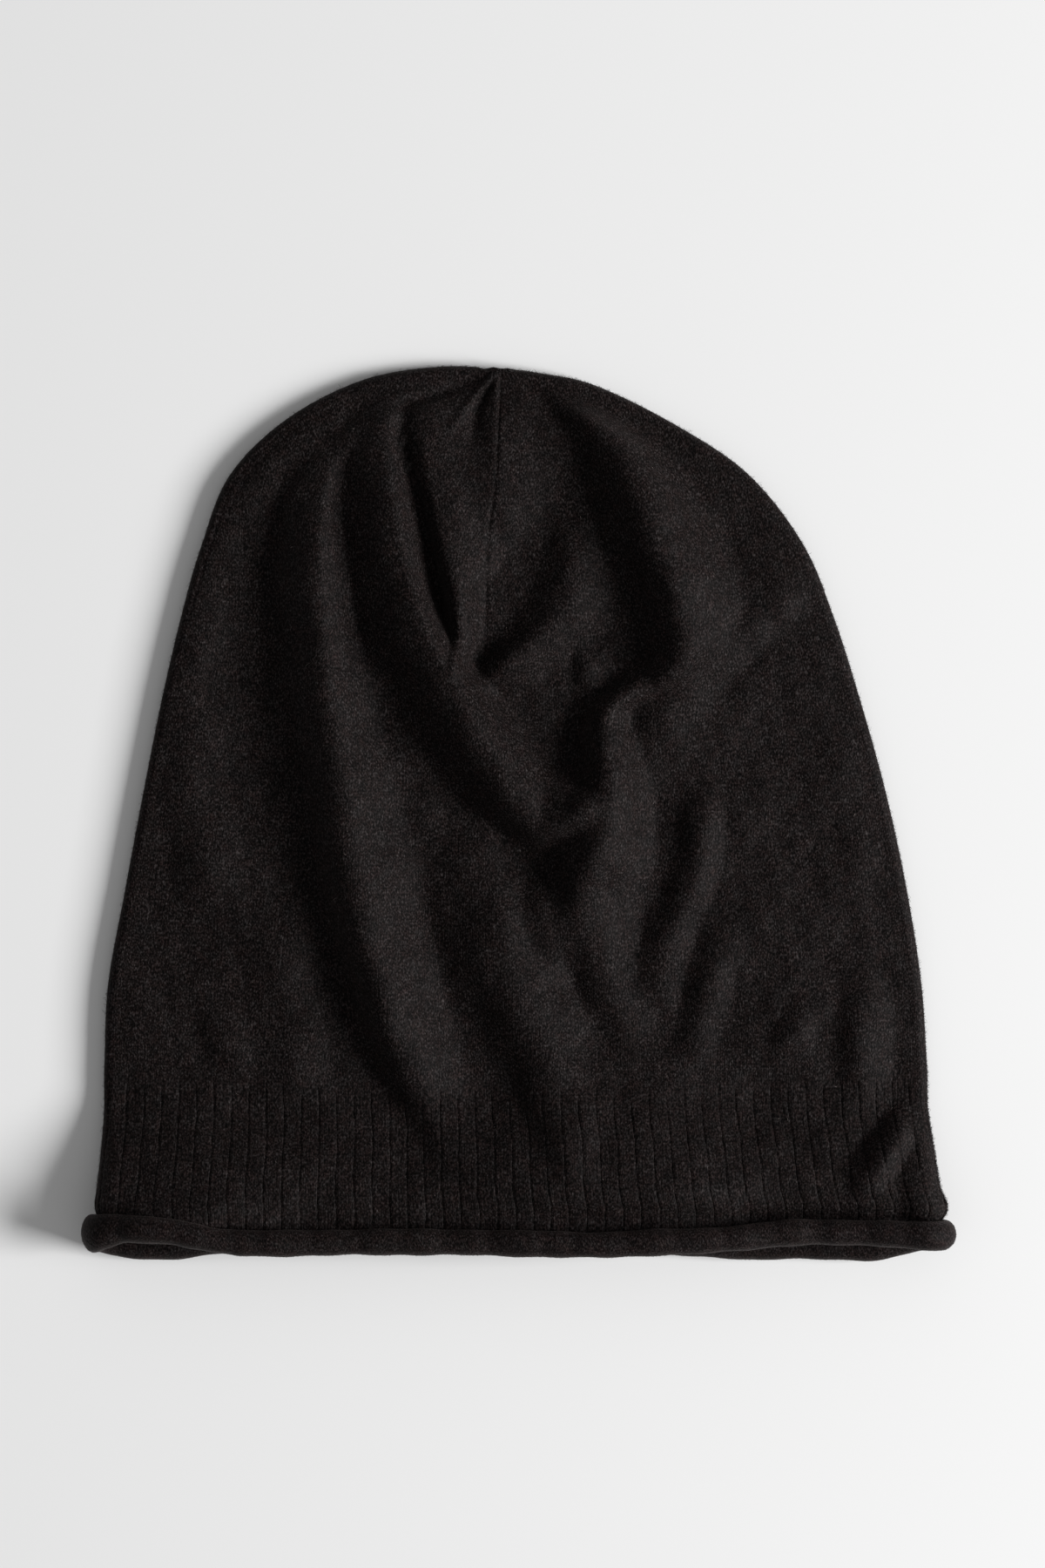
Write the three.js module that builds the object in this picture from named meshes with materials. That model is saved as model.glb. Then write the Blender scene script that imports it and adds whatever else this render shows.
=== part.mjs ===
// Oversized knitted beanie with a rolled hem, lying flat on its back layer, in millimetres.
// +X runs across the mouth, +Y runs up to the gathered tip and +Z is up, away from the table at z = 0.
//
// The cloth is one flattened tube. Its middle surface is worked out first: a flat back layer, a rounded
// side fold along the outline, and a front layer that stands off the back one and carries the long folds.
// Each piece is that surface thickened by its own wall, so crown, ribs and hem follow one shape.
import * as THREE from "three";

// Walls of the knit and the clearance left between two pieces.
const CROWN_WALL = 1.6;
const BAND_WALL = 2.0;
const BRIM_WALL = 1.6;
const PIECE_GAP = 0.6;

// How the tube lies: radius of the side fold, and how far the front layer is puffed up inside it.
const SIDE_RADIUS = 2;
const MOUTH_SIDE_RADIUS = 3.9;
const PUFF = 3.8;
const PUFF_REACH = 40;
const FOLD_EASE = 12;

// Rib band: groove count right round, groove depth and the places of its rows, 1 at the hem and 0 at
// the top of the ribs.
const RIB_COUNT = 96;
const RIB_DEPTH = 0.6;
const BAND_ROWS = [1, 0.68, 0.34, 0];
const BAND_TOP_Y = -81;

// Rolled hem: middle radius of the outer turn and of the core, and how far the cloth turns.
const ROLL_RADIUS = 3.25;
const ROLL_CORE_RADIUS = 1.25;
const ROLL_TURN = 396;
const ROLL_TIGHTENS_FROM = 230;
const ROLL_STEPS = 11;
const ROLL_NECK = 1.4;
const HEM_GAP = 0.7;
const BRIM_STRIPS = [3, 22, 20];

// Near the hem the back layer climbs over the roll that is under it, and the front layer rises a little
// earlier, so that the mouth stands open.
const BACK_LIFT = { height: 2 * ROLL_RADIUS, fromY: -103, toY: -123 };
const FRONT_LIFT = {
  height: 2 * ROLL_RADIUS + 2 * (MOUTH_SIDE_RADIUS - SIDE_RADIUS),
  fromY: -90,
  toY: -114,
};

// Crown: height of the tip, and how many courses of mesh run up to it.
const TIP = { x: -5.3, y: 132.5 };
const CROWN_COURSES = 29;

// Course lines of the crown, from the top of the ribs to the tip. Each runs from a point on the left
// outline, through a height on the centre line, to a point on the right outline.
// Columns: y on the centre line, x and y of the left end, x and y of the right end.
const COURSES = [
  [-81, -124.3, -77, 121.6, -77],
  [-55, -123.2, -52, 119.2, -52],
  [-25, -118.2, -24, 115.2, -24],
  [5, -112.6, 6, 109.6, 6],
  [32, -107, 34, 101.5, 34],
  [55, -101, 59.5, 92.8, 59.5],
  [75, -94.6, 81.5, 82.6, 81.5],
  [90, -84.4, 101.5, 66, 101.8],
  [103, -67.6, 117.6, 44.5, 116.2],
  [115, -45.5, 129, 21, 127.2],
  [125, -23.5, 132.6, 6, 131.4],
  [133.4, TIP.x, 133.4, TIP.x, 133.4],
];

// Side outline of the band, from the roll up to the top of the ribs. Columns: y, left x, right x.
const BAND_SIDES = [
  [-150, -124, 123.4],
  [-125.5, -124, 123.4],
  [-122.4, -124.3, 123.8],
  [-118, -126.4, 126.6],
  [-112, -126, 125.2],
  [-101, -125, 124],
  [-88, -124.2, 121.8],
  [-77, -124.3, 121.6],
];

// Middle of the hem roll across the mouth. Columns: x, y on the front layer, y on the back layer.
const HEM = [
  [-124, -125.6, -125.6],
  [-111, -123.5, -128.6],
  [-95, -126.2, -127.8],
  [-76, -128.2, -127.2],
  [-40, -127.7, -127.2],
  [0, -127.6, -127.2],
  [28, -128.2, -127.2],
  [53, -126.9, -128],
  [78, -124.3, -128.4],
  [97, -124.8, -129],
  [112, -125.4, -128],
  [123.4, -125.7, -125.7],
];

// Soft folds of the front layer. A row is one station on a crest: where the crest is, how high it stands
// over the puffed layer, and how wide its steep left flank and its gentle right flank are.
// Columns: y, x of the crest, height, width of the left flank, width of the right flank.
const FOLDS = {
  leftEdgeLip: [
    [127, -44, 0, 4, 8],
    [112, -68, 2.4, 4, 14],
    [96, -82, 2.6, 4, 20],
    [72, -93, 2.2, 4, 24],
    [45, -102, 1.4, 5, 20],
    [12, -107, 0, 6, 16],
  ],
  leftLong: [
    [124, -44, 0, 10, 7],
    [106, -58, 6, 15, 10],
    [80, -60, 9, 16, 18],
    [40, -59, 9.5, 19, 20],
    [10, -55, 11, 20, 20],
    [-20, -51, 12, 15, 22],
    [-60, -40, 12, 13, 21],
    [-80, -31, 8.5, 12, 20],
    [-96, -19, 4.5, 10, 14],
    [-114, -5, 0, 8, 10],
  ],
  middleLong: [
    [128, -37, 0, 8, 6],
    [104, -39.5, 6.5, 10, 6],
    [80, -35.5, 10, 14, 6],
    [60, -30, 12.5, 19, 7],
    [38, -20, 13, 23, 13],
    [18, -8, 12, 22, 17],
    [3, 8.5, 10.5, 17, 10],
    [-6, 17, 7, 13, 8],
    [-15, 20, 0, 8, 8],
  ],
  seamCrest: [
    [124, -31, 0, 7, 20],
    [100, -26, 6, 8, 24],
    [82, -22, 8.5, 5.5, 20],
    [66, -18.5, 10, 4.5, 12.5],
    [52, -17, 7, 4, 8],
    [40, -19, 0, 3, 6],
  ],
  pocketDiagonal: [
    [88, 14, 0, 8, 9],
    [76, 16.5, 5, 10, 11],
    [65, 15, 6.5, 14, 15],
    [54, 8, 7, 14, 19],
    [44, -4, 6, 10, 20],
    [35, -11, 0, 6, 16],
  ],
  pocketStep: [
    [52, 19, 0, 4, 9],
    [43, 21, 2.2, 6, 9],
    [34, 22, 0, 6, 9],
  ],
  centreRidge: [
    [37, 22, 0, 7, 7],
    [28, 25, 8.5, 12, 10],
    [17, 25.5, 13, 14, 15],
    [2, 27, 12.5, 14, 16],
    [-12, 27, 12, 15, 18],
    [-28, 22, 8, 13, 21],
    [-45, 25, 5, 12, 14],
    [-65, 31, 4, 11, 11],
    [-83, 36, 0, 8, 8],
  ],
  rightLong: [
    [128, 8, 0, 8, 10],
    [114, 24, 8, 14, 17],
    [98, 35, 12, 17, 23],
    [80, 41.5, 13, 16, 32],
    [66, 46.5, 13, 15, 29],
    [50, 49, 11, 13, 15],
    [36, 46.5, 6.5, 9, 11],
    [8, 43, 0, 8, 12],
  ],
  rightShort: [
    [10, 57, 0, 8, 8],
    [-4, 57, 4.5, 9, 8],
    [-20, 54, 5.5, 10, 9],
    [-34, 47.5, 4.5, 10, 9],
    [-50, 45, 2.8, 8, 10],
    [-75, 50, 0, 8, 10],
  ],
  rightFaint: [
    [-30, 62, 0, 8, 8],
    [-48, 57.5, 2.5, 8, 9],
    [-64, 54, 1.9, 8, 9],
    [-78, 52, 0, 8, 9],
  ],
  lowerLong: [
    [-6, -18, 0, 12, 12],
    [-28, -9, 7, 16, 24],
    [-48, -2, 9.5, 18, 30],
    [-66, 6, 9.5, 18, 30],
    [-84, 14, 6, 14, 22],
    [-104, 20, 2.6, 9, 11],
    [-119, 20, 0, 8, 8],
  ],
  rightDimple: [
    [-46, 104, 0, 7, 10],
    [-62, 102.5, 3.4, 9, 13],
    [-76, 101.5, 3, 9, 12],
    [-88, 104, 0, 8, 10],
  ],
  rightDimpleInner: [
    [-54, 88, 0, 7, 8],
    [-66, 82, 2.1, 8, 9],
    [-77, 77, 0, 8, 8],
  ],
  cornerTuck: [
    [-84, 121, 0, 8, 5],
    [-94, 115, 4.5, 9, 6],
    [-105, 107, 4.2, 10, 6],
    [-115, 103, 0, 6, 5],
  ],
  cornerEdge: [
    [-98, 122, 0, 7, 3],
    [-108, 122, 2.5, 9, 4],
    [-120, 123, 3, 10, 4],
  ],
  leftSwell: [
    [14, -98, 0, 10, 14],
    [-14, -95, 1.8, 12, 16],
    [-38, -90, 0, 12, 16],
  ],
  leftSwellLow: [
    [-26, -78, 0, 10, 14],
    [-46, -67, 2.6, 12, 14],
    [-72, -56, 0, 10, 10],
  ],
  leftDent: [
    [-54, -90, 0, 9, 12],
    [-66, -88, 2.2, 10, 12],
    [-80, -84, 0, 10, 12],
  ],
  rightSwell: [
    [34, 92, 0, 16, 12],
    [5, 99, 2, 22, 10],
    [-30, 102, 2.2, 22, 9],
    [-58, 104, 0, 14, 9],
  ],
};

// Strips of the crown's mesh across one layer: closely spaced where the folds are.
// Columns: from and to, as shares of half the width, and the count of strips between them.
const FRONT_SPANS = [
  [-1, -0.978, 2],
  [-0.978, -0.66, 4],
  [-0.66, 0.52, 27],
  [0.52, 0.978, 5],
  [0.978, 1, 2],
];
const BACK_SPANS = [
  [-1, -0.978, 2],
  [-0.978, 0.978, 8],
  [0.978, 1, 2],
];

const WIDEST_HALF = 123;

function clamp01(value) {
  return Math.min(1, Math.max(0, value));
}

// Rises from 0 to 1, level at both ends.
function easeStep(value) {
  const t = clamp01(value);
  return t * t * (3 - 2 * t);
}

// A smooth curve through the rows of a table: the first column is the place, the rest are the values.
function followTable(rows, place) {
  const up = rows[0][0] < rows[rows.length - 1][0] ? rows : [...rows].reverse();
  const last = up.length - 1;
  const at = Math.min(up[last][0], Math.max(up[0][0], place));
  let k = 0;
  while (k < last - 1 && at > up[k + 1][0]) {
    k += 1;
  }
  const span = up[k + 1][0] - up[k][0];
  const t = (at - up[k][0]) / span;
  const slope = (row, column) => {
    const before = up[Math.max(0, row - 1)];
    const after = up[Math.min(last, row + 1)];
    return (after[column] - before[column]) / (after[0] - before[0]);
  };
  const values = [];
  for (let column = 1; column < up[0].length; column += 1) {
    values.push(
      (2 * t ** 3 - 3 * t ** 2 + 1) * up[k][column]
        + (t ** 3 - 2 * t ** 2 + t) * span * slope(k, column)
        + (3 * t ** 2 - 2 * t ** 3) * up[k + 1][column]
        + (t ** 3 - t ** 2) * span * slope(k + 1, column),
    );
  }
  return values;
}

// The outline of the middle surface lies half a wall inside the outline of the cloth.
function insideHalfWall(x, y) {
  const centreY = -20;
  const length = Math.hypot(x, Math.max(0, y - centreY));
  const shrink = CROWN_WALL / 2 / length;
  return [x - x * shrink, y - Math.max(0, y - centreY) * shrink];
}

// One course line of the crown: its height on the centre line and its two ends on the outline.
function crownCourse(centreY) {
  const [leftX, leftY, rightX, rightY] = followTable(COURSES, centreY);
  const [inLeftX, inLeftY] = insideHalfWall(leftX, leftY);
  const [inRightX, inRightY] = insideHalfWall(rightX, rightY);
  return { centreY, leftX: inLeftX, leftY: inLeftY, rightX: inRightX, rightY: inRightY };
}

// A point in plan on a course line, with across = -1 at the left outline and +1 at the right one.
function planOnCourse(course, across) {
  const middle = (course.leftX + course.rightX) / 2;
  const half = (course.rightX - course.leftX) / 2;
  const endY = across < 0 ? course.leftY : course.rightY;
  return [
    middle + half * across,
    endY + (course.centreY - endY) * Math.cos((Math.PI / 2) * across),
  ];
}

// A point in plan on a row of the band: down = 0 at the top of the ribs and 1 at the hem.
function planOnBand(down, across, isBack) {
  const topCourse = crownCourse(BAND_TOP_Y);
  const [, topY] = planOnCourse(topCourse, across);
  const [hemLeft, hemRight] = followTable(BAND_SIDES, -125.5);
  const hemX = (hemLeft + hemRight) / 2 + ((hemRight - hemLeft) / 2) * across;
  const [frontY, backY] = followTable(HEM, hemX);
  const hemY = isBack ? backY : frontY;
  const y = topY + (hemY - topY) * down;
  const [left, right] = followTable(BAND_SIDES, y);
  const half = (right - left) / 2 - CROWN_WALL / 2;
  return [(left + right) / 2 + half * across, y];
}

// The outline in plan, up the left side, over the tip and down the right side.
function outlineInPlan() {
  const left = [];
  const right = [];
  for (const [y, leftX, rightX] of BAND_SIDES) {
    left.push([leftX + CROWN_WALL / 2, y]);
    right.push([rightX - CROWN_WALL / 2, y]);
  }
  const steps = 48;
  for (let step = 1; step <= steps; step += 1) {
    const course = crownCourse(BAND_TOP_Y + ((133.4 - BAND_TOP_Y) * step) / steps);
    left.push([course.leftX, course.leftY]);
    right.push([course.rightX, course.rightY]);
  }
  return [...left, ...right.reverse()];
}

const OUTLINE = outlineInPlan();

// Shortest distance in plan from a point to the outline.
function distanceInside(x, y) {
  let best = Infinity;
  for (let k = 0; k + 1 < OUTLINE.length; k += 1) {
    const [ax, ay] = OUTLINE[k];
    const [bx, by] = OUTLINE[k + 1];
    const lengthSquared = (bx - ax) ** 2 + (by - ay) ** 2;
    const along = lengthSquared > 0
      ? clamp01(((x - ax) * (bx - ax) + (y - ay) * (by - ay)) / lengthSquared)
      : 0;
    best = Math.min(best, Math.hypot(x - ax - along * (bx - ax), y - ay - along * (by - ay)));
  }
  return best;
}

// Height that all the folds together add at a place on the front layer.
function foldHeight(x, y) {
  let height = 0;
  for (const rows of Object.values(FOLDS)) {
    const top = rows[0][0];
    const bottom = rows[rows.length - 1][0];
    if (y < top && y > bottom) {
      const [crestX, crestHeight, leftWidth, rightWidth] = followTable(rows, y);
      const away = x < crestX ? (crestX - x) / leftWidth : (x - crestX) / rightWidth;
      if (away < 1) {
        height += Math.max(0, crestHeight) * (0.5 + 0.5 * Math.cos(Math.PI * away));
      }
    }
  }
  return height;
}

// How much of a layer's rise near the hem has happened at a height along the hat.
function liftShare({ fromY, toY }, y) {
  return easeStep((fromY - y) / (fromY - toY));
}

// The middle surface: the height of the cloth over the table at a place in plan, on one layer.
function onCloth([x, y], isBack) {
  const backZ = CROWN_WALL / 2 + BACK_LIFT.height * liftShare(BACK_LIFT, y);
  const frontZ = CROWN_WALL / 2 + 2 * SIDE_RADIUS + FRONT_LIFT.height * liftShare(FRONT_LIFT, y);
  const radius = (frontZ - backZ) / 2;
  const inside = distanceInside(x, y);
  const round = radius * Math.sqrt(1 - (1 - clamp01(inside / radius)) ** 2);
  if (isBack) {
    return new THREE.Vector3(x, y, backZ + radius - round);
  }
  const puff = PUFF * easeStep(inside / PUFF_REACH) * (1 - liftShare(FRONT_LIFT, y));
  const folds = foldHeight(x, y) * easeStep(inside / FOLD_EASE);
  return new THREE.Vector3(x, y, backZ + radius + round + puff + folds);
}

// Where a row's columns sit round the tube: left side fold, front layer, right side fold, back layer.
function columnsFromSpans() {
  const front = [];
  for (const [from, to, strips] of FRONT_SPANS) {
    for (let k = 0; k < strips; k += 1) {
      front.push({ across: from + ((to - from) * k) / strips, isBack: false });
    }
  }
  const back = [];
  for (const [from, to, strips] of BACK_SPANS) {
    for (let k = 1; k <= strips; k += 1) {
      back.push({ across: from + ((to - from) * k) / strips, isBack: true });
    }
  }
  return [...front, ...back.reverse()];
}

// Columns evenly spaced round the flattened tube, as knitted ribs are.
function evenColumns(count) {
  const quarter = (Math.PI / 2) * MOUTH_SIDE_RADIUS;
  const layer = 2 * (WIDEST_HALF - MOUTH_SIDE_RADIUS) + 2 * quarter;
  const columns = [];
  for (let k = 0; k < count; k += 1) {
    const travelled = (2 * layer * k) / count;
    const isBack = travelled >= layer;
    const along = isBack ? 2 * layer - travelled : travelled;
    const fromEdge = Math.min(along, layer - along);
    const inset = fromEdge < quarter
      ? MOUTH_SIDE_RADIUS * (1 - Math.cos(fromEdge / MOUTH_SIDE_RADIUS))
      : MOUTH_SIDE_RADIUS + fromEdge - quarter;
    const side = along < layer / 2 ? -1 : 1;
    columns.push({ across: side * (1 - inset / WIDEST_HALF), isBack });
  }
  return columns;
}

// Columns that turn evenly round each side fold and run evenly across each layer.
function roundedColumns(turnStrips, frontStrips, backStrips) {
  const turnInset = (k) => 1 - Math.cos((Math.PI / 2) * (k / turnStrips));
  const fromLeft = (layerStrips) => {
    const places = [];
    for (let k = 0; k < turnStrips; k += 1) {
      places.push(-1 + (turnInset(k) * MOUTH_SIDE_RADIUS) / WIDEST_HALF);
    }
    const flat = 1 - MOUTH_SIDE_RADIUS / WIDEST_HALF;
    for (let k = 0; k < layerStrips; k += 1) {
      places.push(-flat + (2 * flat * k) / layerStrips);
    }
    for (let k = turnStrips; k > 0; k -= 1) {
      places.push(1 - (turnInset(k) * MOUTH_SIDE_RADIUS) / WIDEST_HALF);
    }
    return places;
  };
  const front = fromLeft(frontStrips).map((across) => ({ across, isBack: false }));
  const back = fromLeft(backStrips).map((across) => ({ across: -across, isBack: true }));
  return [...front, ...back];
}

// Unit normals of a ringed surface, from the mean direction of the facets round each point.
function ringNormals(rings, tip) {
  const rows = tip ? [...rings, rings[0].map(() => tip)] : rings;
  const count = rings[0].length;
  const facet = (row, column) => {
    const a = rows[row][column];
    const b = rows[row][(column + 1) % count];
    const c = rows[row + 1][(column + 1) % count];
    const d = rows[row + 1][column];
    const first = new THREE.Vector3().subVectors(c, a);
    const second = new THREE.Vector3().subVectors(d, b);
    return first.cross(second).normalize();
  };
  return rings.map((ring, row) => ring.map((_, column) => {
    const normal = new THREE.Vector3();
    for (const nearRow of [row - 1, row]) {
      if (nearRow >= 0 && nearRow < rows.length - 1) {
        normal.add(facet(nearRow, column));
        normal.add(facet(nearRow, (column + count - 1) % count));
      }
    }
    return normal.normalize();
  }));
}

// Moves every point of the rings along its normal, by a distance that may change with the column.
function offsetRings(rings, normals, distance) {
  return rings.map((ring, row) => ring.map((point, column) => (
    point.clone().addScaledVector(normals[row][column], distance(row, column))
  )));
}

// Collects points and triangles of one closed body.
class BodyMesh {
  constructor() {
    this.positions = [];
    this.triangles = [];
  }

  addPoint(point) {
    this.positions.push(point.x, point.y, point.z);
    return this.positions.length / 3 - 1;
  }

  addRing(ring) {
    return ring.map((point) => this.addPoint(point));
  }

  addTriangle(a, b, c) {
    this.triangles.push(a, b, c);
  }

  // Joins two rings of equal count; the facets face away from the tube where lower is nearer the mouth.
  // Where turned[k] is true, the facets of that strip meet on its other diagonal.
  joinEqual(lower, upper, turned = []) {
    for (let k = 0; k < lower.length; k += 1) {
      const next = (k + 1) % lower.length;
      if (turned[k]) {
        this.addTriangle(lower[k], lower[next], upper[k]);
        this.addTriangle(lower[next], upper[next], upper[k]);
      } else {
        this.addTriangle(lower[k], lower[next], upper[next]);
        this.addTriangle(lower[k], upper[next], upper[k]);
      }
    }
  }

  // Joins a fine ring to a coarse one that has a whole fraction of its points.
  joinFineToCoarse(fine, coarse, flip) {
    const share = fine.length / coarse.length;
    const put = (a, b, c) => (flip ? this.addTriangle(a, c, b) : this.addTriangle(a, b, c));
    for (let k = 0; k < coarse.length; k += 1) {
      const next = (k + 1) % coarse.length;
      for (let step = 0; step < share; step += 1) {
        const here = (k * share + step) % fine.length;
        const after = (here + 1) % fine.length;
        const pivot = step < share / 2 ? k : next;
        put(fine[here], fine[after], coarse[pivot]);
      }
      const turn = (k * share + Math.ceil(share / 2)) % fine.length;
      put(fine[turn], coarse[next], coarse[k]);
    }
  }

  closeWithTip(ring, tip, flip) {
    const point = this.addPoint(tip);
    for (let k = 0; k < ring.length; k += 1) {
      const next = (k + 1) % ring.length;
      if (flip) {
        this.addTriangle(ring[next], ring[k], point);
      } else {
        this.addTriangle(ring[k], ring[next], point);
      }
    }
  }

  toMesh(name, material) {
    const geometry = new THREE.BufferGeometry();
    geometry.setAttribute("position", new THREE.Float32BufferAttribute(this.positions, 3));
    geometry.setIndex(this.triangles);
    geometry.computeVertexNormals();
    const mesh = new THREE.Mesh(geometry, material);
    mesh.name = name;
    return mesh;
  }
}

function knitMaterial(color, roughness) {
  return new THREE.MeshStandardMaterial({ color, roughness, metalness: 0, side: THREE.DoubleSide });
}

// A point on the crown's cloth, a number of mesh courses up from the top of the ribs.
function onCrown(row, across, isBack) {
  const firstY = BAND_TOP_Y + PIECE_GAP / 2;
  const climb = 1 - (1 - row / CROWN_COURSES) ** 1.12;
  const course = crownCourse(firstY + (TIP.y - firstY) * climb);
  return onCloth(planOnCourse(course, across), isBack);
}

// For each strip of a course, whether its facets follow the cloth better on the second diagonal, so that
// slanting crests stay crests.
function secondDiagonals(rings, row, columns) {
  return columns.map(({ across, isBack }, column) => {
    const next = (column + 1) % columns.length;
    const centre = onCrown(row + 0.5, (across + columns[next].across) / 2, isBack);
    const first = rings[row][column].clone().add(rings[row + 1][next]).multiplyScalar(0.5);
    const second = rings[row][next].clone().add(rings[row + 1][column]).multiplyScalar(0.5);
    return Math.abs(second.z - centre.z) < Math.abs(first.z - centre.z);
  });
}

// The crown: a thin bag that is open at the ribs and closes at the gathered tip.
function makeCrown() {
  const columns = columnsFromSpans();
  const rings = [];
  for (let row = 0; row < CROWN_COURSES; row += 1) {
    rings.push(columns.map(({ across, isBack }) => onCrown(row, across, isBack)));
  }
  const tip = new THREE.Vector3(TIP.x, TIP.y, CROWN_WALL / 2 + SIDE_RADIUS);
  const normals = ringNormals(rings, tip);
  const half = CROWN_WALL / 2;
  const body = new BodyMesh();
  const outer = offsetRings(rings, normals, () => half).map((ring) => body.addRing(ring));
  const inner = offsetRings(rings, normals, () => -half).map((ring) => body.addRing(ring));
  for (let row = 0; row + 1 < rings.length; row += 1) {
    const turned = secondDiagonals(rings, row, columns);
    body.joinEqual(outer[row], outer[row + 1], turned);
    body.joinEqual(inner[row + 1], inner[row], turned.map((isTurned) => !isTurned));
  }
  body.joinEqual(inner[0], outer[0]);
  body.closeWithTip(outer[outer.length - 1], tip.clone().add(new THREE.Vector3(0, half, 0)), false);
  body.closeWithTip(inner[inner.length - 1], tip.clone().add(new THREE.Vector3(0, -half, 0)), true);
  return body.toMesh("crown", knitMaterial(0x1b1716, 0.95));
}

// The rib band: its outer face is level with the crown's and has one narrow groove for each rib, and its
// inner face is plain.
function makeRibBand() {
  const columns = evenColumns(3 * RIB_COUNT);
  const rings = BAND_ROWS.map((down) => columns.map(({ across, isBack }) => {
    const place = planOnBand(down, across, isBack);
    if (down === 0) {
      place[1] -= PIECE_GAP / 2;
    }
    if (down === 1) {
      place[1] += ROLL_NECK + HEM_GAP;
    }
    return onCloth(place, isBack);
  }));
  const normals = ringNormals(rings, null);
  const face = CROWN_WALL / 2;
  const relief = (row, column) => face - (column % 3 === 0 ? RIB_DEPTH : 0);
  const body = new BodyMesh();
  const outer = offsetRings(rings, normals, relief).map((ring) => body.addRing(ring));
  const inner = offsetRings(rings, normals, () => face - BAND_WALL)
    .map((ring) => body.addRing(ring.filter((_, column) => column % 3 === 0)));
  const last = rings.length - 1;
  for (let row = 0; row < last; row += 1) {
    body.joinEqual(outer[row], outer[row + 1]);
    body.joinEqual(inner[row + 1], inner[row]);
  }
  body.joinFineToCoarse(outer[0], inner[0], true);
  body.joinFineToCoarse(outer[last], inner[last], false);
  return body.toMesh("rib_band", knitMaterial(0x1d1918, 0.95));
}

// The section of the rolled hem, in distances out from the cloth and up towards the tip. It leaves the
// band straight, turns outward round the roll and tightens into its core.
function rollSection() {
  const places = [{ out: 0, up: ROLL_NECK, across: [-1, 0] }];
  for (let step = 0; step <= ROLL_STEPS; step += 1) {
    const degrees = (ROLL_TURN * step) / ROLL_STEPS;
    const turn = THREE.MathUtils.degToRad(degrees);
    const tighten = easeStep((degrees - ROLL_TIGHTENS_FROM) / 130);
    const radius = ROLL_RADIUS - (ROLL_RADIUS - ROLL_CORE_RADIUS) * tighten;
    places.push({
      out: ROLL_RADIUS - radius * Math.cos(turn),
      up: -radius * Math.sin(turn),
      across: [-Math.cos(turn), -Math.sin(turn)],
    });
  }
  const half = BRIM_WALL / 2;
  const outside = places.map(({ out, up, across }) => [out + half * across[0], up + half * across[1]]);
  const insideFace = places.map(({ out, up, across }) => [out - half * across[0], up - half * across[1]]);
  return [...outside, ...insideFace.reverse()];
}

// The rolled hem: that section carried round the mouth, always rolled to the outside of the hat.
function makeRolledBrim() {
  const columns = roundedColumns(...BRIM_STRIPS);
  const loop = columns.map(({ across, isBack }) => onCloth(planOnBand(1, across, isBack), isBack));
  const section = rollSection();
  const body = new BodyMesh();
  const rings = loop.map((point, k) => {
    const before = loop[(k + loop.length - 1) % loop.length];
    const after = loop[(k + 1) % loop.length];
    const toHere = new THREE.Vector2(point.x - before.x, point.z - before.z).normalize();
    const fromHere = new THREE.Vector2(after.x - point.x, after.z - point.z).normalize();
    const along = toHere.add(fromHere).normalize();
    const outward = new THREE.Vector3(-along.y, 0, along.x);
    return body.addRing(section.map(([out, up]) => (
      point.clone().addScaledVector(outward, out).add(new THREE.Vector3(0, up, 0))
    )));
  });
  for (let k = 0; k < rings.length; k += 1) {
    body.joinEqual(rings[(k + 1) % rings.length], rings[k]);
  }
  return body.toMesh("rolled_brim", knitMaterial(0x1d1918, 0.95));
}

const beanie = new THREE.Group();
beanie.name = "oversized_beanie";
beanie.add(makeCrown());
beanie.add(makeRibBand());
beanie.add(makeRolledBrim());

export default beanie;
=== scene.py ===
import math

import bpy
import numpy as np
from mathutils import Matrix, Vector


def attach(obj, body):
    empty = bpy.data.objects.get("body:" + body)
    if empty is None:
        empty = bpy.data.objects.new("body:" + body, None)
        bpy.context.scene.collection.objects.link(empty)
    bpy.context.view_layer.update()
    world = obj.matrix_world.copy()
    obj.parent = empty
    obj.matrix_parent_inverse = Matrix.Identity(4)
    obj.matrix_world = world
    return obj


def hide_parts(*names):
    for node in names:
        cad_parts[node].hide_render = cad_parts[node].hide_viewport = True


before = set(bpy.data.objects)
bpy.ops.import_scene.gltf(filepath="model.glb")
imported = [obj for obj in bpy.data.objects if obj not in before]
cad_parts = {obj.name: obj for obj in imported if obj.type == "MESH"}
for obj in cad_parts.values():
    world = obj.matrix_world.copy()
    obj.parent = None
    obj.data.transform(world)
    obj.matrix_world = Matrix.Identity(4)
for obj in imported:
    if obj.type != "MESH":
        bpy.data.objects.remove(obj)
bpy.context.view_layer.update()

# An oversized beanie knitted in fine near-black cashmere, lying flat on its back layer.
# +X runs across the mouth, +Y runs up to the gathered tip and +Z is up. The tables below are in
# millimetres, as a knitter would measure them, and MM turns a length into Blender's metres.
MM = 0.001

# Walls of the knit, the clearance between two pieces, and the width of the narrow strip along a cut
# end that keeps the smooth shading of the face from bending round it.
CROWN_WALL = 1.6
BAND_WALL = 2.0
BRIM_WALL = 1.6
JOIN_GAP = 0.002
EDGE_STRIP = 0.02

# How the tube lies: radius of the side fold, in the crown and at the mouth, and how far the front
# layer is puffed up inside it. Puff and folds grow from nothing at the outline to full height over
# the next two lengths. WIDEST_HALF is half the width of the hat at the mouth.
SIDE_RADIUS = 2
MOUTH_SIDE_RADIUS = 3.9
PUFF = 1.6
PUFF_REACH = 40
FOLD_EASE = 12
WIDEST_HALF = 123

# Where the front layer sinks onto the back one: the air left between them, and how gently it lands.
LAYER_GAP = 0.1
LANDING_EASE = 0.3

# No roll or fibre reaches lower than this, so that nothing sinks into the table.
LEAST_Z = 0.05

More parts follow.
